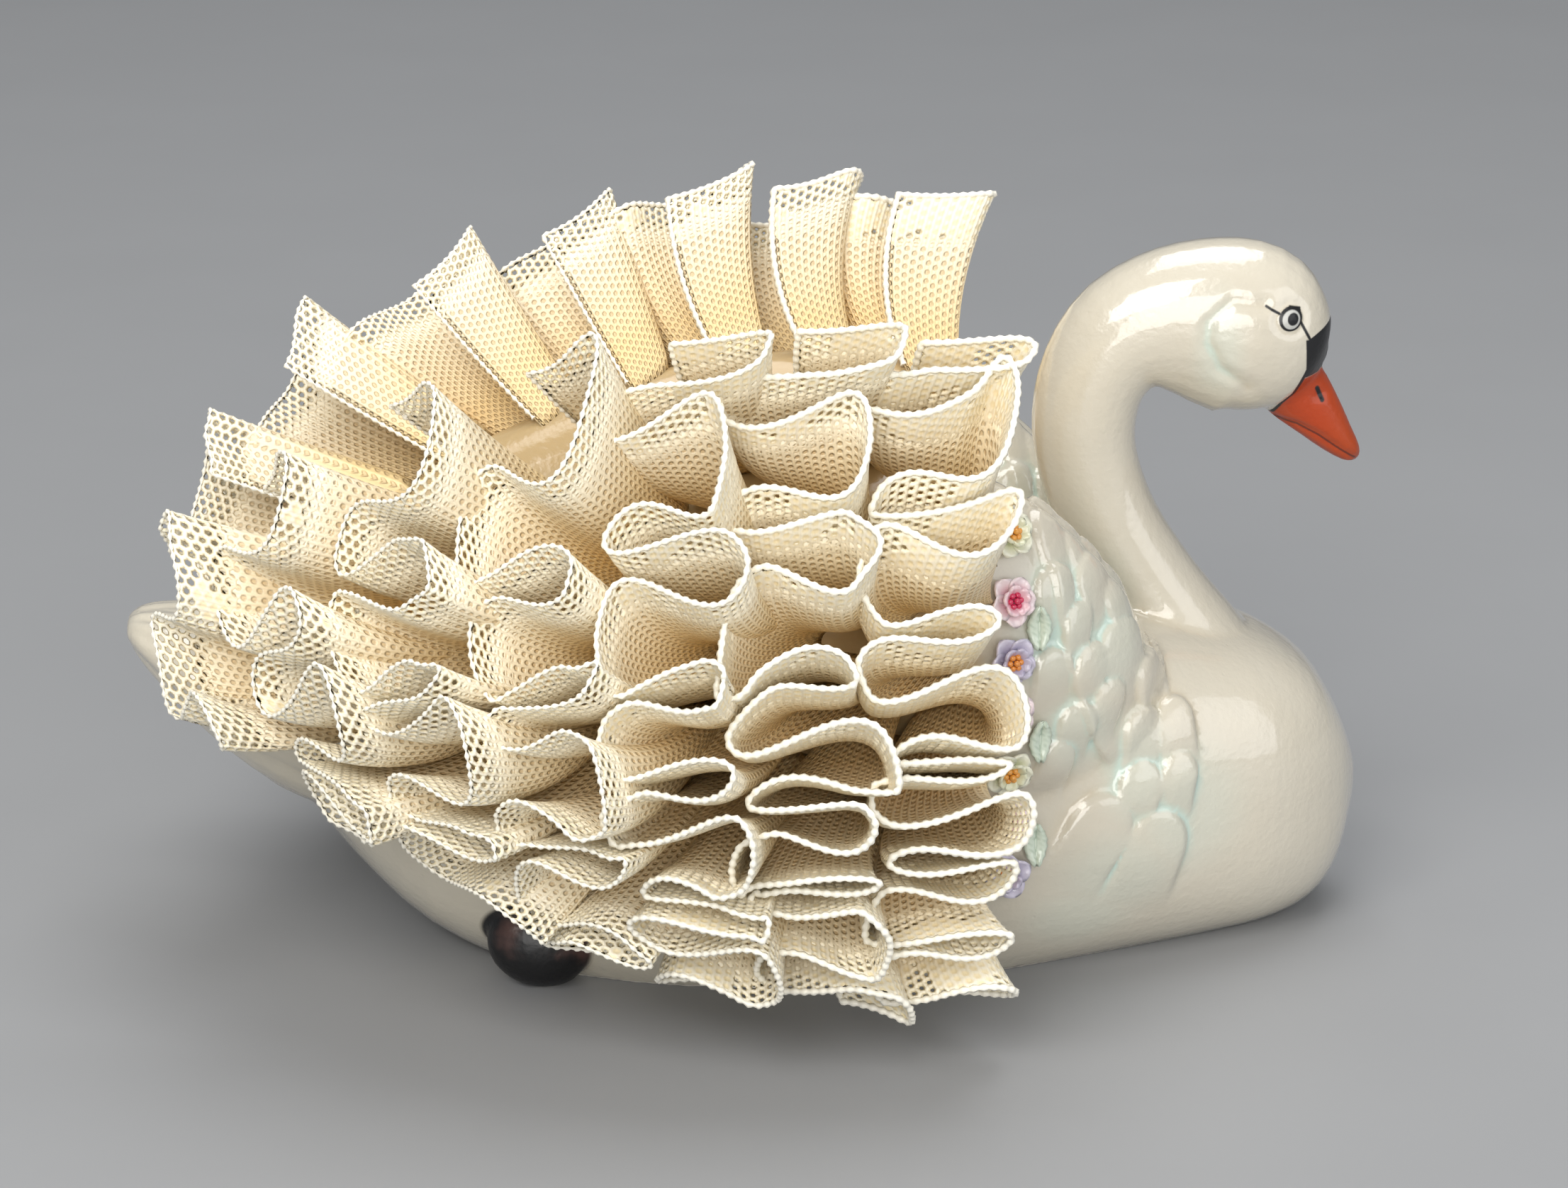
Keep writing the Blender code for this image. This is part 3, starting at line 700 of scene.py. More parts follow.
lace = {
    "stepsPerLoop": 20,
    "rowsAcross": 12,
    # how far the folds swing at the foot, and the part of that left at the strip's lower end
    "gatherReach": 5.5,
    "bottomReach": 0.92,
    "openingPower": 0.85,
    "sunkFoot": 0.8,
    "footLimit": 8,
    "rightLean": -4,
    # the bow of the lace: downward along the strip, and back by strip
    "bowDown": ([0, 0.25, 0.6, 0.85, 1], [1, 4, 5, 2, -1]),
    "bowBack": (3, 3, 2, 0, 0, 0, 0),
    "topReach": 1.4,
    "wander": 1.4,
    "tilt": 0.45,
    "lift": 0.25,
    "lineRise": 7,
    # distance of the wing's ridge from the middle plane, by strip
    "ridge": (25, 25, 25, 24, 21, 17, 12),
    # free edges are pushed this far apart, in so many rounds
    "apart": 1.6,
    "rounds": 40,
    "threadThickness": 0.62,
    "shake": 0.09,
    "holePitch": 1.5,
    "holeVary": 0.14,
    "dentThinness": 0.8,
    "rowGap": 1.575,
    "netWidth": 9.1,
    "bandThickness": 0.45,
    "toothPitch": 1.6,
    "seed": 7,
}
# each kind of fold: its share of the strip, its reach and how much it curls round
folds = {"b": (1.8, 1.0, 1.1), "m": (1.15, 1.0, 0.85), "s": (0.62, 0.8, 0.4)}
# Each strip from the head to the tail: its line's top and bottom (x, z); its free edge's top, middle and
# bottom (x, distance from the middle, z); its reach; its folds; then hole size, glazed-over share, rim
# radius and tooth height.
strips = [
    ((29, 78), (28, 25), (28.5, 45, 113), (25, 77, 57), (27, 62, 8), 12,
     "msbsmbsmbssmbsmbsbm", 0.34, 0.5, 0.56, 0.13),
    ((14, 79), (16, 25), (8, 45, 114.5), (3.5, 80, 57), (9.5, 62, 8), 12.4,
     "msbsmbsmbsmbssbmb", 0.34, 0.5, 0.54, 0.13),
    ((-1, 78), (4, 26), (-11.5, 45, 113.5), (-15.8, 80, 57), (-7, 61, 9), 12.4,
     "msbsmbsbsmbssmbm", 0.38, 0.35, 0.46, 0.15),
    ((-17, 75), (-8, 32), (-34, 43, 107), (-35, 75, 57), (-25, 57, 13.5), 12.6,
     "bmsbssbmsbsm", 0.44, 0.1, 0.32, 0.17),
    ((-32, 70), (-20, 39), (-56, 38, 101), (-55.5, 66, 57), (-41, 51, 22.5), 12.8,
     "bsmbssbmsbm", 0.46, 0.06, 0.28, 0.18),
    ((-46, 65), (-36, 42), (-77, 32, 86), (-72, 53, 57), (-63, 43, 29.5), 12,
     "mbsmbsmb", 0.46, 0.05, 0.28, 0.18),
    ((-62, 60), (-55, 46), (-90, 22, 71), (-89, 37, 58), (-86, 31, 41.5), 10.5,
     "mbsm", 0.46, 0.05, 0.28, 0.18),
]


def loopLine(kinds, rng):
    # how far down the strip each step is, evenly and with its curls; how far across, -1 to 1; and its share
    shares, reaches, curls = (np.array(column) for column in zip(*(folds[kind] for kind in kinds)))
    shares = shares * rng.uniform(0.85, 1.15, len(kinds))
    count, steps = len(kinds), lace["stepsPerLoop"]
    phase = np.linspace(0, count * math.pi, count * steps + 1)
    middles = (np.arange(count) + 0.5) * math.pi
    share, reach, curl = (np.interp(phase, middles, column) for column in (shares, reaches, curls))
    tilt = np.interp(phase, middles, rng.uniform(-1, 1, count) * lace["tilt"])
    even = np.concatenate([[0], np.cumsum((share[1:] + share[:-1]) / 2)])
    scale = 1 / even[-1]
    inside = np.clip(np.minimum(phase, phase[-1] - phase) / math.pi, 0, 1)
    turned = (tilt - lace["lift"] * np.sin(phase)) * np.sin(phase) ** 2 - curl * np.sin(2 * phase) / 2
    return even * scale, even * scale + turned * share * steps * scale * inside, reach * np.sin(phase), share


def laceGrid(surface, side, number):
    # the middle of the lace as rows of points from the wing to the free edge
    lineTop, lineBottom, top, middle, bottom, reach, loops = strips[number][:7]
    marks = [Vector((x, side * away, z)) for x, away, z in (top, middle, bottom)]
    marks[0].x += lace["rightLean"] if side < 0 else 0
    loops = loops if side < 0 else loops[::-1]
    rng = np.random.default_rng(lace["seed"] + number * 2 + (side > 0))

    def line(down):
        x = lineTop[0] + (lineBottom[0] - lineTop[0]) * down
        z = lineTop[1] + lace["lineRise"] * (1 - down) ** 3 + (lineBottom[1] - lineTop[1]) * down
        spot = outerPoint(surface, side, x, z)[0]
        ridge = surface.ray_cast(Vector((x, side * lace["ridge"][number], 150)), Vector((0, 0, -1)))[0]
        return spot.lerp(ridge, 1 - float(ease(np.array(max(down, 0)), 0, 0.14)))

    def edge(down):
        return (marks[0] * (1 - down) * (1 - 2 * down) + marks[1] * 4 * down * (1 - down)
                + marks[2] * down * (2 * down - 1))

    def across(down):
        return (edge(down + 0.02) - edge(down - 0.02)).cross(edge(down) - line(down)).normalized() * side

    even, curled, swing, size = loopLine(loops, rng)
    shares = np.linspace(0, 1, lace["rowsAcross"])
    phase = np.arange(len(even)) * math.pi / lace["stepsPerLoop"]
    start = lace["seed"] + number * 2.3 + side
    outward = (np.sin(phase * 0.37 + start) * 0.6 + np.sin(phase * 0.91 + 2 * start) * 0.4 - 0.3
               + (size - 1.2) * 0.6)
    onward = np.sin(phase * 0.53 + 3 * start) * 0.7 + np.sin(phase * 0.23 + start) * 0.5
    rows = []
    for e, c, s, out, on in zip(even, curled, swing, outward * lace["wander"], onward * lace["wander"]):
        sideways = across(e)
        bow = ((edge(e + 0.02) - edge(e - 0.02)).normalized() * float(np.interp(e, *lace["bowDown"]))
               - sideways * lace["bowBack"][number])
        wide = float(np.interp(e, [0, 0.15, 1], [lace["topReach"], 1, lace["bottomReach"]]))
        footSwing = s * lace["gatherReach"] * wide
        foot = line(e) + sideways * footSwing
        fall = edge(c)
        stands = (fall - foot).normalized()
        corner = float(ease(np.array(min(e, 1 - e)), 0, 0.04))
        fall = foot.lerp(fall, 0.9 + 0.1 * corner) + stands * out
        hit = surface.ray_cast(foot + stands * 12, -stands)[0]
        if hit is None or (hit - foot).length > lace["footLimit"]:
            hit = surface.find_nearest(foot)[0]
        foot = hit - stands * lace["sunkFoot"]
        tipSwing = s * reach * wide + on
        row = []
        for share in shares:
            level = foot.lerp(fall, share) - sideways * footSwing * (1 - share)
            opened = footSwing + (tipSwing - footSwing) * share ** lace["openingPower"]
            row.append(level + sideways * opened + bow * 4 * share * (1 - share))
        rows.append(row)
    return np.array(rows)


def smoothAlong(moves, rounds=3):
    for _ in range(rounds):
        padded = np.vstack([moves[:1], moves, moves[-1:]])
        moves = padded[:-2] / 4 + padded[1:-1] / 2 + padded[2:] / 4
    return moves


def packedGrids(surface, side):
    # all strips of one wing, their free edges pushed apart where folds would cross
    grids = [laceGrid(surface, side, number) for number in range(len(strips))]
    rims = [grid[:, -1].copy() for grid in grids]
    stands = [grid[:, -1] - grid[:, -3] for grid in grids]
    stands = [s / np.linalg.norm(s, axis=1, keepdims=True) for s in stands]
    closest = lace["stepsPerLoop"] * 0.6
    for _ in range(lace["rounds"]):
        moves = [np.zeros_like(rim) for rim in rims]
        for first in range(len(rims)):
            for second in (first, first + 1):
                if second == len(rims):
                    continue
                gap = rims[first][:, None] - rims[second][None]
                gap -= (gap * stands[first][:, None]).sum(2, keepdims=True) * stands[first][:, None]
                far = np.linalg.norm(gap, axis=2) + 1e-6
                push = np.clip(lace["apart"] - far, 0, None)
                if first == second:
                    run = np.arange(len(far))
                    push[np.abs(run[:, None] - run[None]) < closest] = 0
                turned = gap * (push / far)[..., None]
                moves[first] += turned.sum(1) / np.maximum((push > 0).sum(1), 1)[:, None] / 2
                moves[second] -= turned.sum(0) / np.maximum((push > 0).sum(0), 1)[:, None] / 2
        rims = [rim + smoothAlong(move) for rim, move in zip(rims, moves)]
    levels = np.linspace(0, 1, lace["rowsAcross"]) ** 1.4
    return [grid + (rim - grid[:, -1])[:, None] * levels[None, :, None] for grid, rim in zip(grids, rims)]


laceLook = {
    "outer": (0.95, 0.905, 0.765),
    # painted shade: the lace grows darker and more golden towards the wing, deep in the folds
    "deep": (0.93, 0.68, 0.32),
    # the painted shade seen in a hole, also put on glazed-over dents near the wing and on the band's dimples
    "hole": (0.62, 0.42, 0.19),
    "filled": (0.93, 0.80, 0.50),
    "pooled": (0.93, 0.85, 0.63),
    "rim": (0.95, 0.915, 0.80),
}


def laceMaterial():
    finish, board, shader, place = newFinish("fired lace")
    x, y, depth = board.parts(board.add("ShaderNodeAttribute", attribute_name="netPlace").outputs["Vector"])
    rim = board.attribute("rim")
    net = board.attribute("net")
    skin = group(board, "glaze", {"Place": place})

    # glazed-over holes of the solid band near the wing, in step with the real holes of the net
    across = board.over(x, lace["rowGap"])
    odd = board.calc("MODULO", board.calc("FLOOR", across), 2.0)
    down = board.plus(board.over(y, lace["holePitch"]), board.times(odd, 0.5))
    fromHole = board.vector("LENGTH", board.xyz(board.minus(board.calc("FRACT", across), 0.5),
                                                board.minus(board.calc("FRACT", down), 0.5), 0.0))
    dimple = board.times(board.ramp(fromHole, 0.40, 0.16, True), board.minus(1.0, board.most(rim, net)))
    toEdge = board.ramp(depth, 0.3, 1.0)
    # painted shade: darker and more golden from the free edge towards the wing
    colour = mix(board, toEdge, laceLook["deep"], laceLook["outer"])
    filled = board.times(board.ramp(board.attribute("dent"), 0.35, 0.9), board.times(net, 0.85))
    # glazed-over dents: the painted shade of a hole near the wing, the colour of pooled glaze nearer the free
    # edge
    dentGlazeAndShade = mix(board, toEdge, laceLook["hole"], laceLook["filled"])
    colour = mix(board, filled, colour, dentGlazeAndShade)
    # the band's dimples get the painted shade of a hole
    colour = mix(board, board.times(dimple, 0.7), colour, laceLook["hole"])
    colour = mix(board, board.times(skin["Cloud"], 0.3), colour, laceLook["pooled"])
    colour = mix(board, rim, colour, laceLook["rim"])
    board.feed(shader.inputs["Base Color"], colour)
    board.feed(shader.inputs["Roughness"], board.minus(0.42, board.times(rim, 0.14)))
    ribs = board.calc("COSINE", board.times(across, 4 * math.pi))
    ribs = board.times(ribs, board.minus(0.2, board.times(rim, 0.2)))
    height = board.minus(board.plus(board.times(skin["Height"], 0.4), ribs), board.times(dimple, 1.6))
    addBump(board, shader, height, 0.16)
    return finish


def laceTree():
    # lays a net of six-sided cells with holes over the sheet, and a toothed rim round its free edges
    sizes = ["Length", "Width", "Net From", "Hole Pitch", "Row Gap", "Hole Size", "Glazed Share", "Thickness",
             "Rim Radius", "Tooth Height", "Tooth Pitch"]
    board, take, give = newTree("laceNet", "GeometryNodeTree",
                                [("Geometry", "Geometry"), *[(name, "Float") for name in sizes],
                                 ("Seed", "Int"), ("Finish", "Material")], [("Geometry", "Geometry")])

    def store(geometry, name, value, kind="FLOAT", domain="POINT"):
        return board.add("GeometryNodeStoreNamedAttribute",
                         {"Geometry": geometry, "Name": name, "Value": value},
                         data_type=kind, domain=domain).outputs[0]

    def stored(name, kind="FLOAT"):
        return board.add("GeometryNodeInputNamedAttribute", {"Name": name}, data_type=kind).outputs[0]

    def place():
        return board.add("GeometryNodeInputPosition").outputs[0]

    def moved(geometry, **way):
        return board.add("GeometryNodeSetPosition", {"Geometry": geometry, **way}).outputs[0]

    def dropped(geometry, faces):
        return board.add("GeometryNodeDeleteGeometry", {"Geometry": geometry, "Selection": faces},
                         domain="FACE").outputs[0]

    def together(first, second):
        join = board.add("GeometryNodeJoinGeometry")
        board.feed(join.inputs[0], first)
        board.feed(join.inputs[0], second)
        return join.outputs[0]

    def limited(value):
        return board.add("ShaderNodeClamp", {0: value, 1: 0.0005, 2: 0.9995}).outputs[0]

    # a slanted grid whose dual is six-sided cells in staggered rows
    columns = board.plus(board.calc("CEIL", board.over(take["Length"], take["Row Gap"])), 4)
    rows = board.plus(board.over(take["Width"], take["Hole Pitch"]), board.times(columns, 0.5))
    rows = board.plus(board.calc("CEIL", rows), 4)
    sizeX = board.times(board.minus(columns, 1), take["Row Gap"])
    sizeY = board.times(board.minus(rows, 1), take["Hole Pitch"])
    flat = board.add("GeometryNodeMeshGrid", {"Size X": sizeX, "Size Y": sizeY, "Vertices X": columns,
                                              "Vertices Y": rows}).outputs["Mesh"]
    slant = board.over(board.times(take["Hole Pitch"], 0.5), take["Row Gap"])
    px, py, pz = board.parts(place())
    raised = board.plus(board.minus(py, board.times(px, slant)), board.times(take["Width"], 0.5))
    slanted = board.xyz(board.plus(px, board.times(take["Length"], 0.5)), raised, 0.0)
    flat = board.add("GeometryNodeTriangulate", {"Mesh": flat}, quad_method="FIXED").outputs[0]
    flat = moved(flat, Position=slanted)
    cells = board.add("GeometryNodeDualMesh", {"Mesh": flat}).outputs[0]
    px, py, pz = board.parts(place())
    low = board.times(take["Width"], take["Net From"])
    margin = board.times(take["Row Gap"], -0.3)
    gone = reduce(board.most, (board.below(px, margin), board.beyond(px, board.minus(take["Length"], margin)),
                               board.below(py, low), board.beyond(py, board.minus(take["Width"], margin))))
    cells = dropped(cells, gone)
    inside = board.least(board.most(px, 0.0), take["Length"])
    cells = moved(cells, Position=board.xyz(inside, board.least(py, take["Width"]), 0.0))
    atBorder = board.below(board.add("GeometryNodeInputMeshEdgeNeighbors").outputs[0], 1.5)
    cells = store(cells, "border", atBorder)
    cloud = board.add("ShaderNodeTexNoise",
                      {"Vector": board.vector("MULTIPLY", place(), (90, 90, 90)), "Scale": 1.0, "Detail": 2.0,
                       "W": board.times(take["Seed"], 3.7)}, noise_dimensions="4D").outputs[0]
    level = board.ramp(take["Glazed Share"], 0.0, 1.0, low=0.3, high=0.7)
    cells = store(cells, "glazed", board.below(cloud, level), domain="FACE")
    shake = lace["shake"] * mm
    shaken = board.add("FunctionNodeRandomValue",
                       {0: (-shake, -shake, 0), 1: (shake, shake, 0), "Seed": take["Seed"]},
                       data_type="FLOAT_VECTOR").outputs[0]
    cells = moved(cells, Offset=shaken)

    # shrink a copy of each cell inside it and open it, or leave it as a dent where the glaze filled it
    grown = board.add("GeometryNodeExtrudeMesh", {"Mesh": cells, "Offset Scale": 0.0, "Individual": True},
                      mode="FACES")
    isTop = grown.outputs["Top"]
    fromHole, toHole = 1 - lace["holeVary"], 1 + lace["holeVary"]
    vary = board.add("FunctionNodeRandomValue", {2: fromHole, 3: toHole, "Seed": take["Seed"]},
                     data_type="FLOAT").outputs[1]
    cells = board.add("GeometryNodeScaleElements", {"Geometry": grown.outputs["Mesh"], "Selection": isTop,
                                                    "Scale": board.times(take["Hole Size"], vary)},
                      domain="FACE").outputs[0]
    hole = board.times(isTop, board.minus(1.0, stored("glazed")))
    cells = store(cells, "open", board.beyond(hole, 0.5), "BOOLEAN")
    cells = store(cells, "dent", isTop, "BOOLEAN")
    cells = dropped(cells, hole)
    dent = board.times(stored("dent", "BOOLEAN"), lace["dentThinness"])
    thin = board.least(board.most(stored("border"), board.most(stored("open", "BOOLEAN"), dent)), 1.0)
    half = board.times(board.times(take["Thickness"], 0.5), board.minus(1.0, thin))
    front = moved(cells, Offset=board.xyz(0.0, 0.0, half))
    behind = moved(cells, Offset=board.xyz(0.0, 0.0, board.times(half, -1.0)))
    behind = board.add("GeometryNodeFlipFaces", {"Mesh": behind}).outputs[0]
    both = together(front, behind)
    net = board.add("GeometryNodeMergeByDistance", {"Geometry": both, "Distance": 2e-6}).outputs[0]

    # lay the flat net on the gathered sheet
    px, py, pz = board.parts(place())
    shareX, shareY = limited(board.over(px, take["Length"])), limited(board.over(py, take["Width"]))
    netPlace = board.xyz(board.times(px, 1000), board.times(py, 1000), shareY)
    net = store(store(net, "netPlace", netPlace, "FLOAT_VECTOR"), "net", 1.0)
    spots = board.xyz(shareX, shareY, 0.0)
    sheetUv = stored("sheet", "FLOAT_VECTOR")

    def sampled(value):
        return board.add("GeometryNodeSampleUVSurface", {0: take["Geometry"], 1: value, 2: sheetUv, 3: spots},
                         data_type="FLOAT_VECTOR").outputs[0]

    outward = sampled(board.add("GeometryNodeInputNormal").outputs[0])
    lift = board.add("ShaderNodeVectorMath", {0: outward, "Scale": pz}, operation="SCALE").outputs[0]
    net = moved(net, Position=board.vector("ADD", sampled(place()), lift))

    # the rim: a bead with small teeth along the sheet's free edges
    free = board.times(atBorder, board.beyond(stored("share"), 0.12))
    path = board.add("GeometryNodeMeshToCurve", {"Mesh": take["Geometry"], "Selection": free}).outputs[0]
    step = board.times(take["Tooth Pitch"], 0.25)
    path = board.add("GeometryNodeResampleCurve", {"Curve": path, "Length": step}, mode="LENGTH").outputs[0]
    run = board.add("GeometryNodeSplineParameter").outputs["Length"]
    wave = board.calc("COSINE", board.over(board.times(run, 2 * math.pi), take["Tooth Pitch"]))
    bead = board.plus(take["Rim Radius"], board.times(wave, take["Tooth Height"]))
    ring = board.add("GeometryNodeCurvePrimitiveCircle", {"Resolution": 5, "Radius": 1.0},
                     mode="RADIUS").outputs[0]
    rim = board.add("GeometryNodeCurveToMesh", {"Curve": path, "Profile Curve": ring, "Scale": bead,
                                                "Fill Caps": True}).outputs[0]
    both = together(net, store(rim, "rim", 1.0))
    made = board.add("GeometryNodeSetShadeSmooth", {"Geometry": both}).outputs[0]
    made = board.add("GeometryNodeRealizeInstances", {"Geometry": made}).outputs[0]
    made = board.add("GeometryNodeSetMaterial", {"Geometry": made, "Material": take["Finish"]}).outputs[0]
    board.feed(give.inputs[0], made)
    return board.tree


def makeLace(side, number, grid, finish, tree):
    holeSize, glazedShare, rimRadius, toothHeight = strips[number][7:]
    steps, rows = grid.shape[:2]
    run = np.concatenate([[0], np.cumsum(np.linalg.norm(np.diff(grid[:, -1], axis=0), axis=1))])
    length, width = run[-1], np.linalg.norm(grid[:, -1] - grid[:, 0], axis=1).mean()
    netFrom = max(1 - lace["netWidth"] / width, 0.2)
    index = np.arange(steps * rows).reshape(steps, rows)
    quads = np.stack([index[:-1, :-1], index[1:, :-1], index[1:, 1:], index[:-1, 1:]], axis=-1).reshape(-1, 4)
    name = f"{sideName(side)}_lace_{number + 1}"
    piece = newPiece(name, grid.reshape(-1, 3), quads.tolist())
    share = np.tile(np.linspace(0, 1, rows), steps)
    u = np.repeat(run / length, rows)
    mesh = piece.data
    corners = np.empty(len(mesh.loops), int)
    mesh.loops.foreach_get("vertex_index", corners)
    mesh.uv_layers.new(name="sheet").data.foreach_set("uv", np.stack([u, share], axis=1)[corners].ravel())
    setValues(piece, "share", share)

    # the solid band by the wing, under the net's first row
    bandRows = min(int(np.searchsorted(np.linspace(0, 1, rows), netFrom)) + 2, rows - 1)
    points, faces = closedSheet(grid[:, :bandRows], lace["bandThickness"])
    band = newPiece(name + "_band", points, faces, finish)
    levels = np.tile(np.linspace(0, 1, rows)[:bandRows], steps)
    places = np.stack([np.repeat(run, bandRows), levels * width, levels], axis=1)
    setValues(band, "netPlace", bothFaces(places, steps, bandRows), "FLOAT_VECTOR")

    modifier = piece.modifiers.new("net", "NODES")
    modifier.node_group = tree
    values = {"Length": length * mm, "Width": width * mm, "Net From": netFrom,
              "Hole Pitch": lace["holePitch"] * mm, "Row Gap": lace["rowGap"] * mm, "Hole Size": holeSize,
              "Glazed Share": glazedShare, "Thickness": lace["threadThickness"] * mm,
              "Rim Radius": rimRadius * mm, "Tooth Height": toothHeight * mm,
              "Tooth Pitch": lace["toothPitch"] * mm,
              "Seed": lace["seed"] + number + (10 if side > 0 else 0), "Finish": finish}
    for item in tree.interface.items_tree:
        if item.in_out == "INPUT" and item.name in values:
            modifier[item.identifier] = values[item.name]
    applied(piece)
    with bpy.context.temp_override(active_object=piece, selected_editable_objects=[piece, band]):
        bpy.ops.object.join()
    piece.data.materials.clear()
    piece.data.materials.append(finish)
    piece.data.polygons.foreach_set("material_index", [0] * len(piece.data.polygons))
    standFor(piece, name.replace("lace", "frill"))
    return piece


firedLace = laceMaterial()
net = laceTree()
faceTotal = 0
for side in (-1, 1):
    for number, grid in enumerate(packedGrids(swanSurface, side)):
        made = makeLace(side, number, grid, firedLace, net)
        faceTotal += len(made.data.polygons)
print("lace made:", faceTotal, "faces")


# Flowers and leaves, made petal by petal and stuck along the wings' front edges

flowerLook = {
    "x": 38, "lowest": 21, "spacing": 9.2, "count": 7, "radius": 4.3,
    # ring: petals, reach, half width, height at the foot, lift, cup
    "rings": [(5, 1.0, 2.1, 0.7, 1.5, 0.9), (5, 0.62, 1.35, 1.5, 1.9, 0.7)],
    "petalThickness": 0.6,
    # the heart: dots in it, their ring's reach and height, half sizes of a dot and of the mound below
    "dots": 6, "dotReach": 0.95, "dotHeight": 2.3, "topDotHeight": 2.8,
    "dotHalf": (0.52, 0.52, 0.6), "moundHalf": (1.9, 1.9, 1.5), "moundHeight": 0.6,
    "colours": ["lavender", "pink", "cream", "pink"],
    "lavender": ((0.62, 0.58, 0.70), (0.38, 0.33, 0.50), (0.75, 0.26, 0.03)),
    "pink": ((0.88, 0.74, 0.76), (0.78, 0.36, 0.46), (0.62, 0.02, 0.09)),
    "cream": ((0.86, 0.85, 0.68), (0.62, 0.66, 0.36), (0.82, 0.36, 0.05)),
}
leafLook = {"x": 43, "length": 7.2, "width": 4.0, "thickness": 0.9, "rows": 15, "columns": 9,
            "colour": (0.62, 0.72, 0.60), "vein": (0.30, 0.42, 0.30), "pooled": (0.80, 0.82, 0.70)}


def trimFinish(name, roughness):
    # a glossy glaze, with its base colour left to the caller
    finish, board, shader, place = newFinish(name, **{"Coat Weight": 1.0, "Coat Roughness": 0.05,
                                                      "Roughness": roughness})
    skin = group(board, "glaze", {"Place": place})
    addBump(board, shader, skin["Height"], 0.12)
    return finish, board, shader.inputs["Base Color"], skin["Cloud"], board.attribute("tone")


def flowerFinish(name):
    petal, deep, heart = flowerLook[name]
    finish, board, baseColour, cloud, tone = trimFinish(name + " petals", 0.25)
    inner = board.ramp(board.plus(tone, board.times(cloud, 0.3)), 0.9, 0.3)
    board.feed(baseColour, mix(board, board.below(tone, -0.5), mix(board, inner, petal, deep), heart))
    return finish


def petalGrid(reach, halfWidth, foot, lift, cup, ragged):
    # rows from the heart to the tip, each across the petal
    along, across = np.linspace(0, 1, 8), np.linspace(-1, 1, 7)
    grid = []
    for s in along:
        half = halfWidth * math.sin(math.pi * (0.10 + 0.83 * s)) ** 0.7
        frill = 1 + ragged * math.sin(s * 9 + ragged * 40)
        grid.append([(0.5 + (reach - 0.5) * (s - 0.10 * s * t * t), half * t * frill,
                      foot + lift * s ** 1.5 + cup * t * t * (1 - 0.4 * s) - 0.5 * s ** 6) for t in across])
    return np.array(grid)


def placedOn(side, x, z, forms):
    # forms are (points, faces, tones) in a frame of across, up the wing and outward
    spot, outward = outerPoint(swanSurface, side, x, z)
    up = (Vector((0, 0, 1)) - outward * outward.z).normalized()
    turn = np.array([up.cross(outward), up, outward])
    points, faces = joined([form[:2] for form in forms])
    tones = np.concatenate([np.broadcast_to(form[2], len(form[0])) for form in forms])
    return np.array(points) @ turn + np.array(spot), faces, tones


def makeFlower(side, number, finishes):
    rng = np.random.default_rng(number * 2 + (side > 0))
    forms = []
    for count, reach, halfWidth, foot, lift, cup in flowerLook["rings"]:
        start = rng.uniform(0, 2 * math.pi)
        for k in range(count):
            grid = petalGrid(reach * flowerLook["radius"] * rng.uniform(0.92, 1.04), halfWidth, foot, lift,
                             cup * rng.uniform(0.7, 1.3), rng.uniform(0.02, 0.05))
            angle = start + 2 * math.pi * k / count + rng.uniform(-0.08, 0.08)
            c, s = math.cos(angle), math.sin(angle)
            grid = grid @ np.array([[c, s, 0], [-s, c, 0], [0, 0, 1]])
            points, faces = closedSheet(grid, flowerLook["petalThickness"])
            tones = np.linalg.norm(np.array(points)[:, :2], axis=1) / flowerLook["radius"]
            forms.append((points, faces, tones))
    spots = [(0, 0, flowerLook["topDotHeight"])]
    for k in range(flowerLook["dots"]):
        angle = (k + 1) * 2 * math.pi / flowerLook["dots"]
        spots.append((flowerLook["dotReach"] * math.cos(angle), flowerLook["dotReach"] * math.sin(angle),
                      flowerLook["dotHeight"]))
    forms += [(*ellipsoid(spot, flowerLook["dotHalf"], count=6), -1.0) for spot in spots]
    mound = ellipsoid((0, 0, flowerLook["moundHeight"]), flowerLook["moundHalf"], count=8)
    forms.append((*mound, 0.2))
    z = flowerLook["lowest"] + flowerLook["spacing"] * number
    points, faces, tones = placedOn(side, flowerLook["x"], z, forms)
    name = f"{sideName(side)}_flower_{number + 1}"
    colour = flowerLook["colours"][number % 4]
    piece = newPiece(name + "_petals", points, faces, finishes[colour])
    setValues(piece, "tone", tones)
    standFor(piece, name)


def leafFinish():
    finish, board, baseColour, cloud, tone = trimFinish("leaf glaze", 0.28)
    colour = mix(board, tone, leafLook["colour"], leafLook["vein"])
    board.feed(baseColour, mix(board, board.times(cloud, 0.4), colour, leafLook["pooled"]))
    return finish


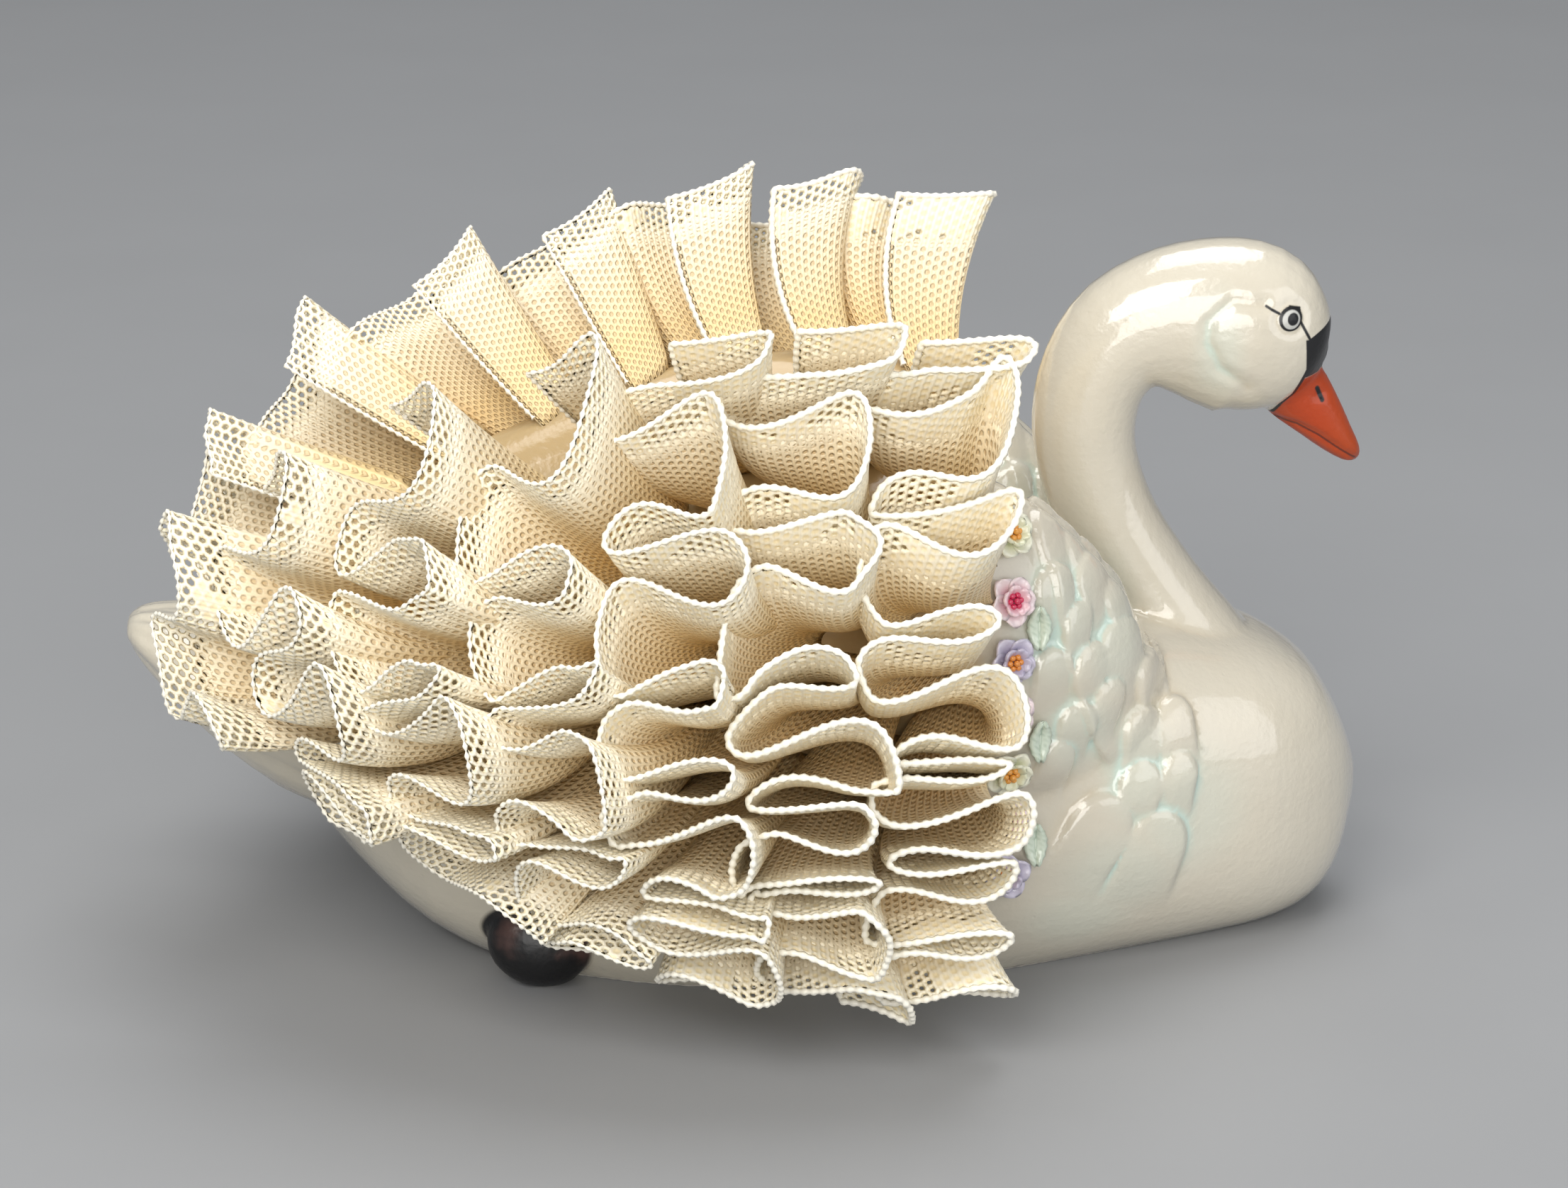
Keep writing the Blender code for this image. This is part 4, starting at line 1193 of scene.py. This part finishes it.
def makeLeaf(side, number, finish):
    rows, columns = leafLook["rows"], leafLook["columns"]
    grid, tones = [], []
    for s in np.linspace(0, 1, rows):
        half = leafLook["width"] / 2 * (math.sin(math.pi * min(0.04 + 0.94 * s, 1)) ** 0.8)
        half *= 1 + 0.07 * math.sin(s * 34)
        for t in np.linspace(-1, 1, columns):
            sideVein = 0.7 * math.exp(-((((s * 6 - abs(t) * 1.2) % 1) - 0.5) / 0.14) ** 2)
            vein = max(math.exp(-(t / 0.12) ** 2), sideVein)
            tones.append(vein)
            grid.append((half * t, (s - 0.5) * leafLook["length"],
                         0.75 + 0.5 * abs(t) + 0.9 * (2 * s - 1) ** 2 - 0.15 * vein))
    points, faces = closedSheet(np.array(grid).reshape(rows, columns, 3), leafLook["thickness"])
    tones = bothFaces(tones, rows, columns)
    z = flowerLook["lowest"] + flowerLook["spacing"] * (number * 2 + 0.5)
    foot = ellipsoid((0, 0, 0.4), (1.0, 2.2, 0.8), count=8)
    points, faces, tones = placedOn(side, leafLook["x"], z, [(points, faces, tones), (*foot, 0.0)])
    name = f"{sideName(side)}_leaf_{number + 1}"
    piece = newPiece(name + "_blade", points, faces, finish)
    setValues(piece, "tone", tones)
    standFor(piece, name)


petalFinishes = {name: flowerFinish(name) for name in ("lavender", "pink", "cream")}
leafGlaze = leafFinish()
for side in (-1, 1):
    for number in range(flowerLook["count"]):
        makeFlower(side, number, petalFinishes)
    for number in range(flowerLook["count"] // 2):
        makeLeaf(side, number, leafGlaze)
print("flowers and leaves made")


# Floor, lights and surroundings

studio = {
    "floor": (0.30, 0.306, 0.315),
    "floorReach": 9000,
    "world": (0.80, 0.83, 0.87),
    "worldStrength": 0.27,
    # name, place in metres, size, power, colour
    "lamps": [("key", (-0.5, -0.9, 1.1), 0.8, 13, (1.0, 0.97, 0.93)),
              ("fill", (1.0, -0.7, 0.5), 0.9, 4, (0.96, 0.97, 1.0)),
              ("front", (-0.1, -1.6, 0.6), 1.1, 16, (1.0, 0.98, 0.95)),
              ("top", (0.1, 0.3, 1.3), 0.9, 9.5, (1.0, 1.0, 1.0))],
}


def makeStudio():
    far = studio["floorReach"]
    corners = [(-far, -far, 0), (far, -far, 0), (far, far, 0), (-far, far, 0)]
    floor = newPiece("floor", corners, [(0, 1, 2, 3)])
    finish, board, shader, place = newFinish("pale floor")
    grain = board.add("ShaderNodeTexNoise", {"Vector": place, "Scale": 0.02, "Detail": 4.0}).outputs[0]
    low, high = ([c * share for c in studio["floor"]] for share in (0.97, 1.03))
    board.feed(shader.inputs["Base Color"], mix(board, grain, low, high))
    shader.inputs["Roughness"].default_value = 0.6
    floor.data.materials.append(finish)
    for name, spot, size, power, colour in studio["lamps"]:
        lamp = bpy.data.objects.new(name, bpy.data.lights.new(name, "AREA"))
        lamp.data.size = size
        lamp.data.energy = power
        lamp.data.color = colour
        lamp.location = spot
        lamp.rotation_euler = (Vector(spot) - Vector((0, 0, 0.05))).to_track_quat("Z", "Y").to_euler()
        bpy.context.scene.collection.objects.link(lamp)
    world = bpy.data.worlds.new("studio")
    world.use_nodes = True
    world.node_tree.nodes["Background"].inputs[0].default_value = (*studio["world"], 1)
    world.node_tree.nodes["Background"].inputs[1].default_value = studio["worldStrength"]
    bpy.context.scene.world = world
    bpy.context.scene.view_settings.view_transform = "Standard"


makeStudio()
print("studio made")
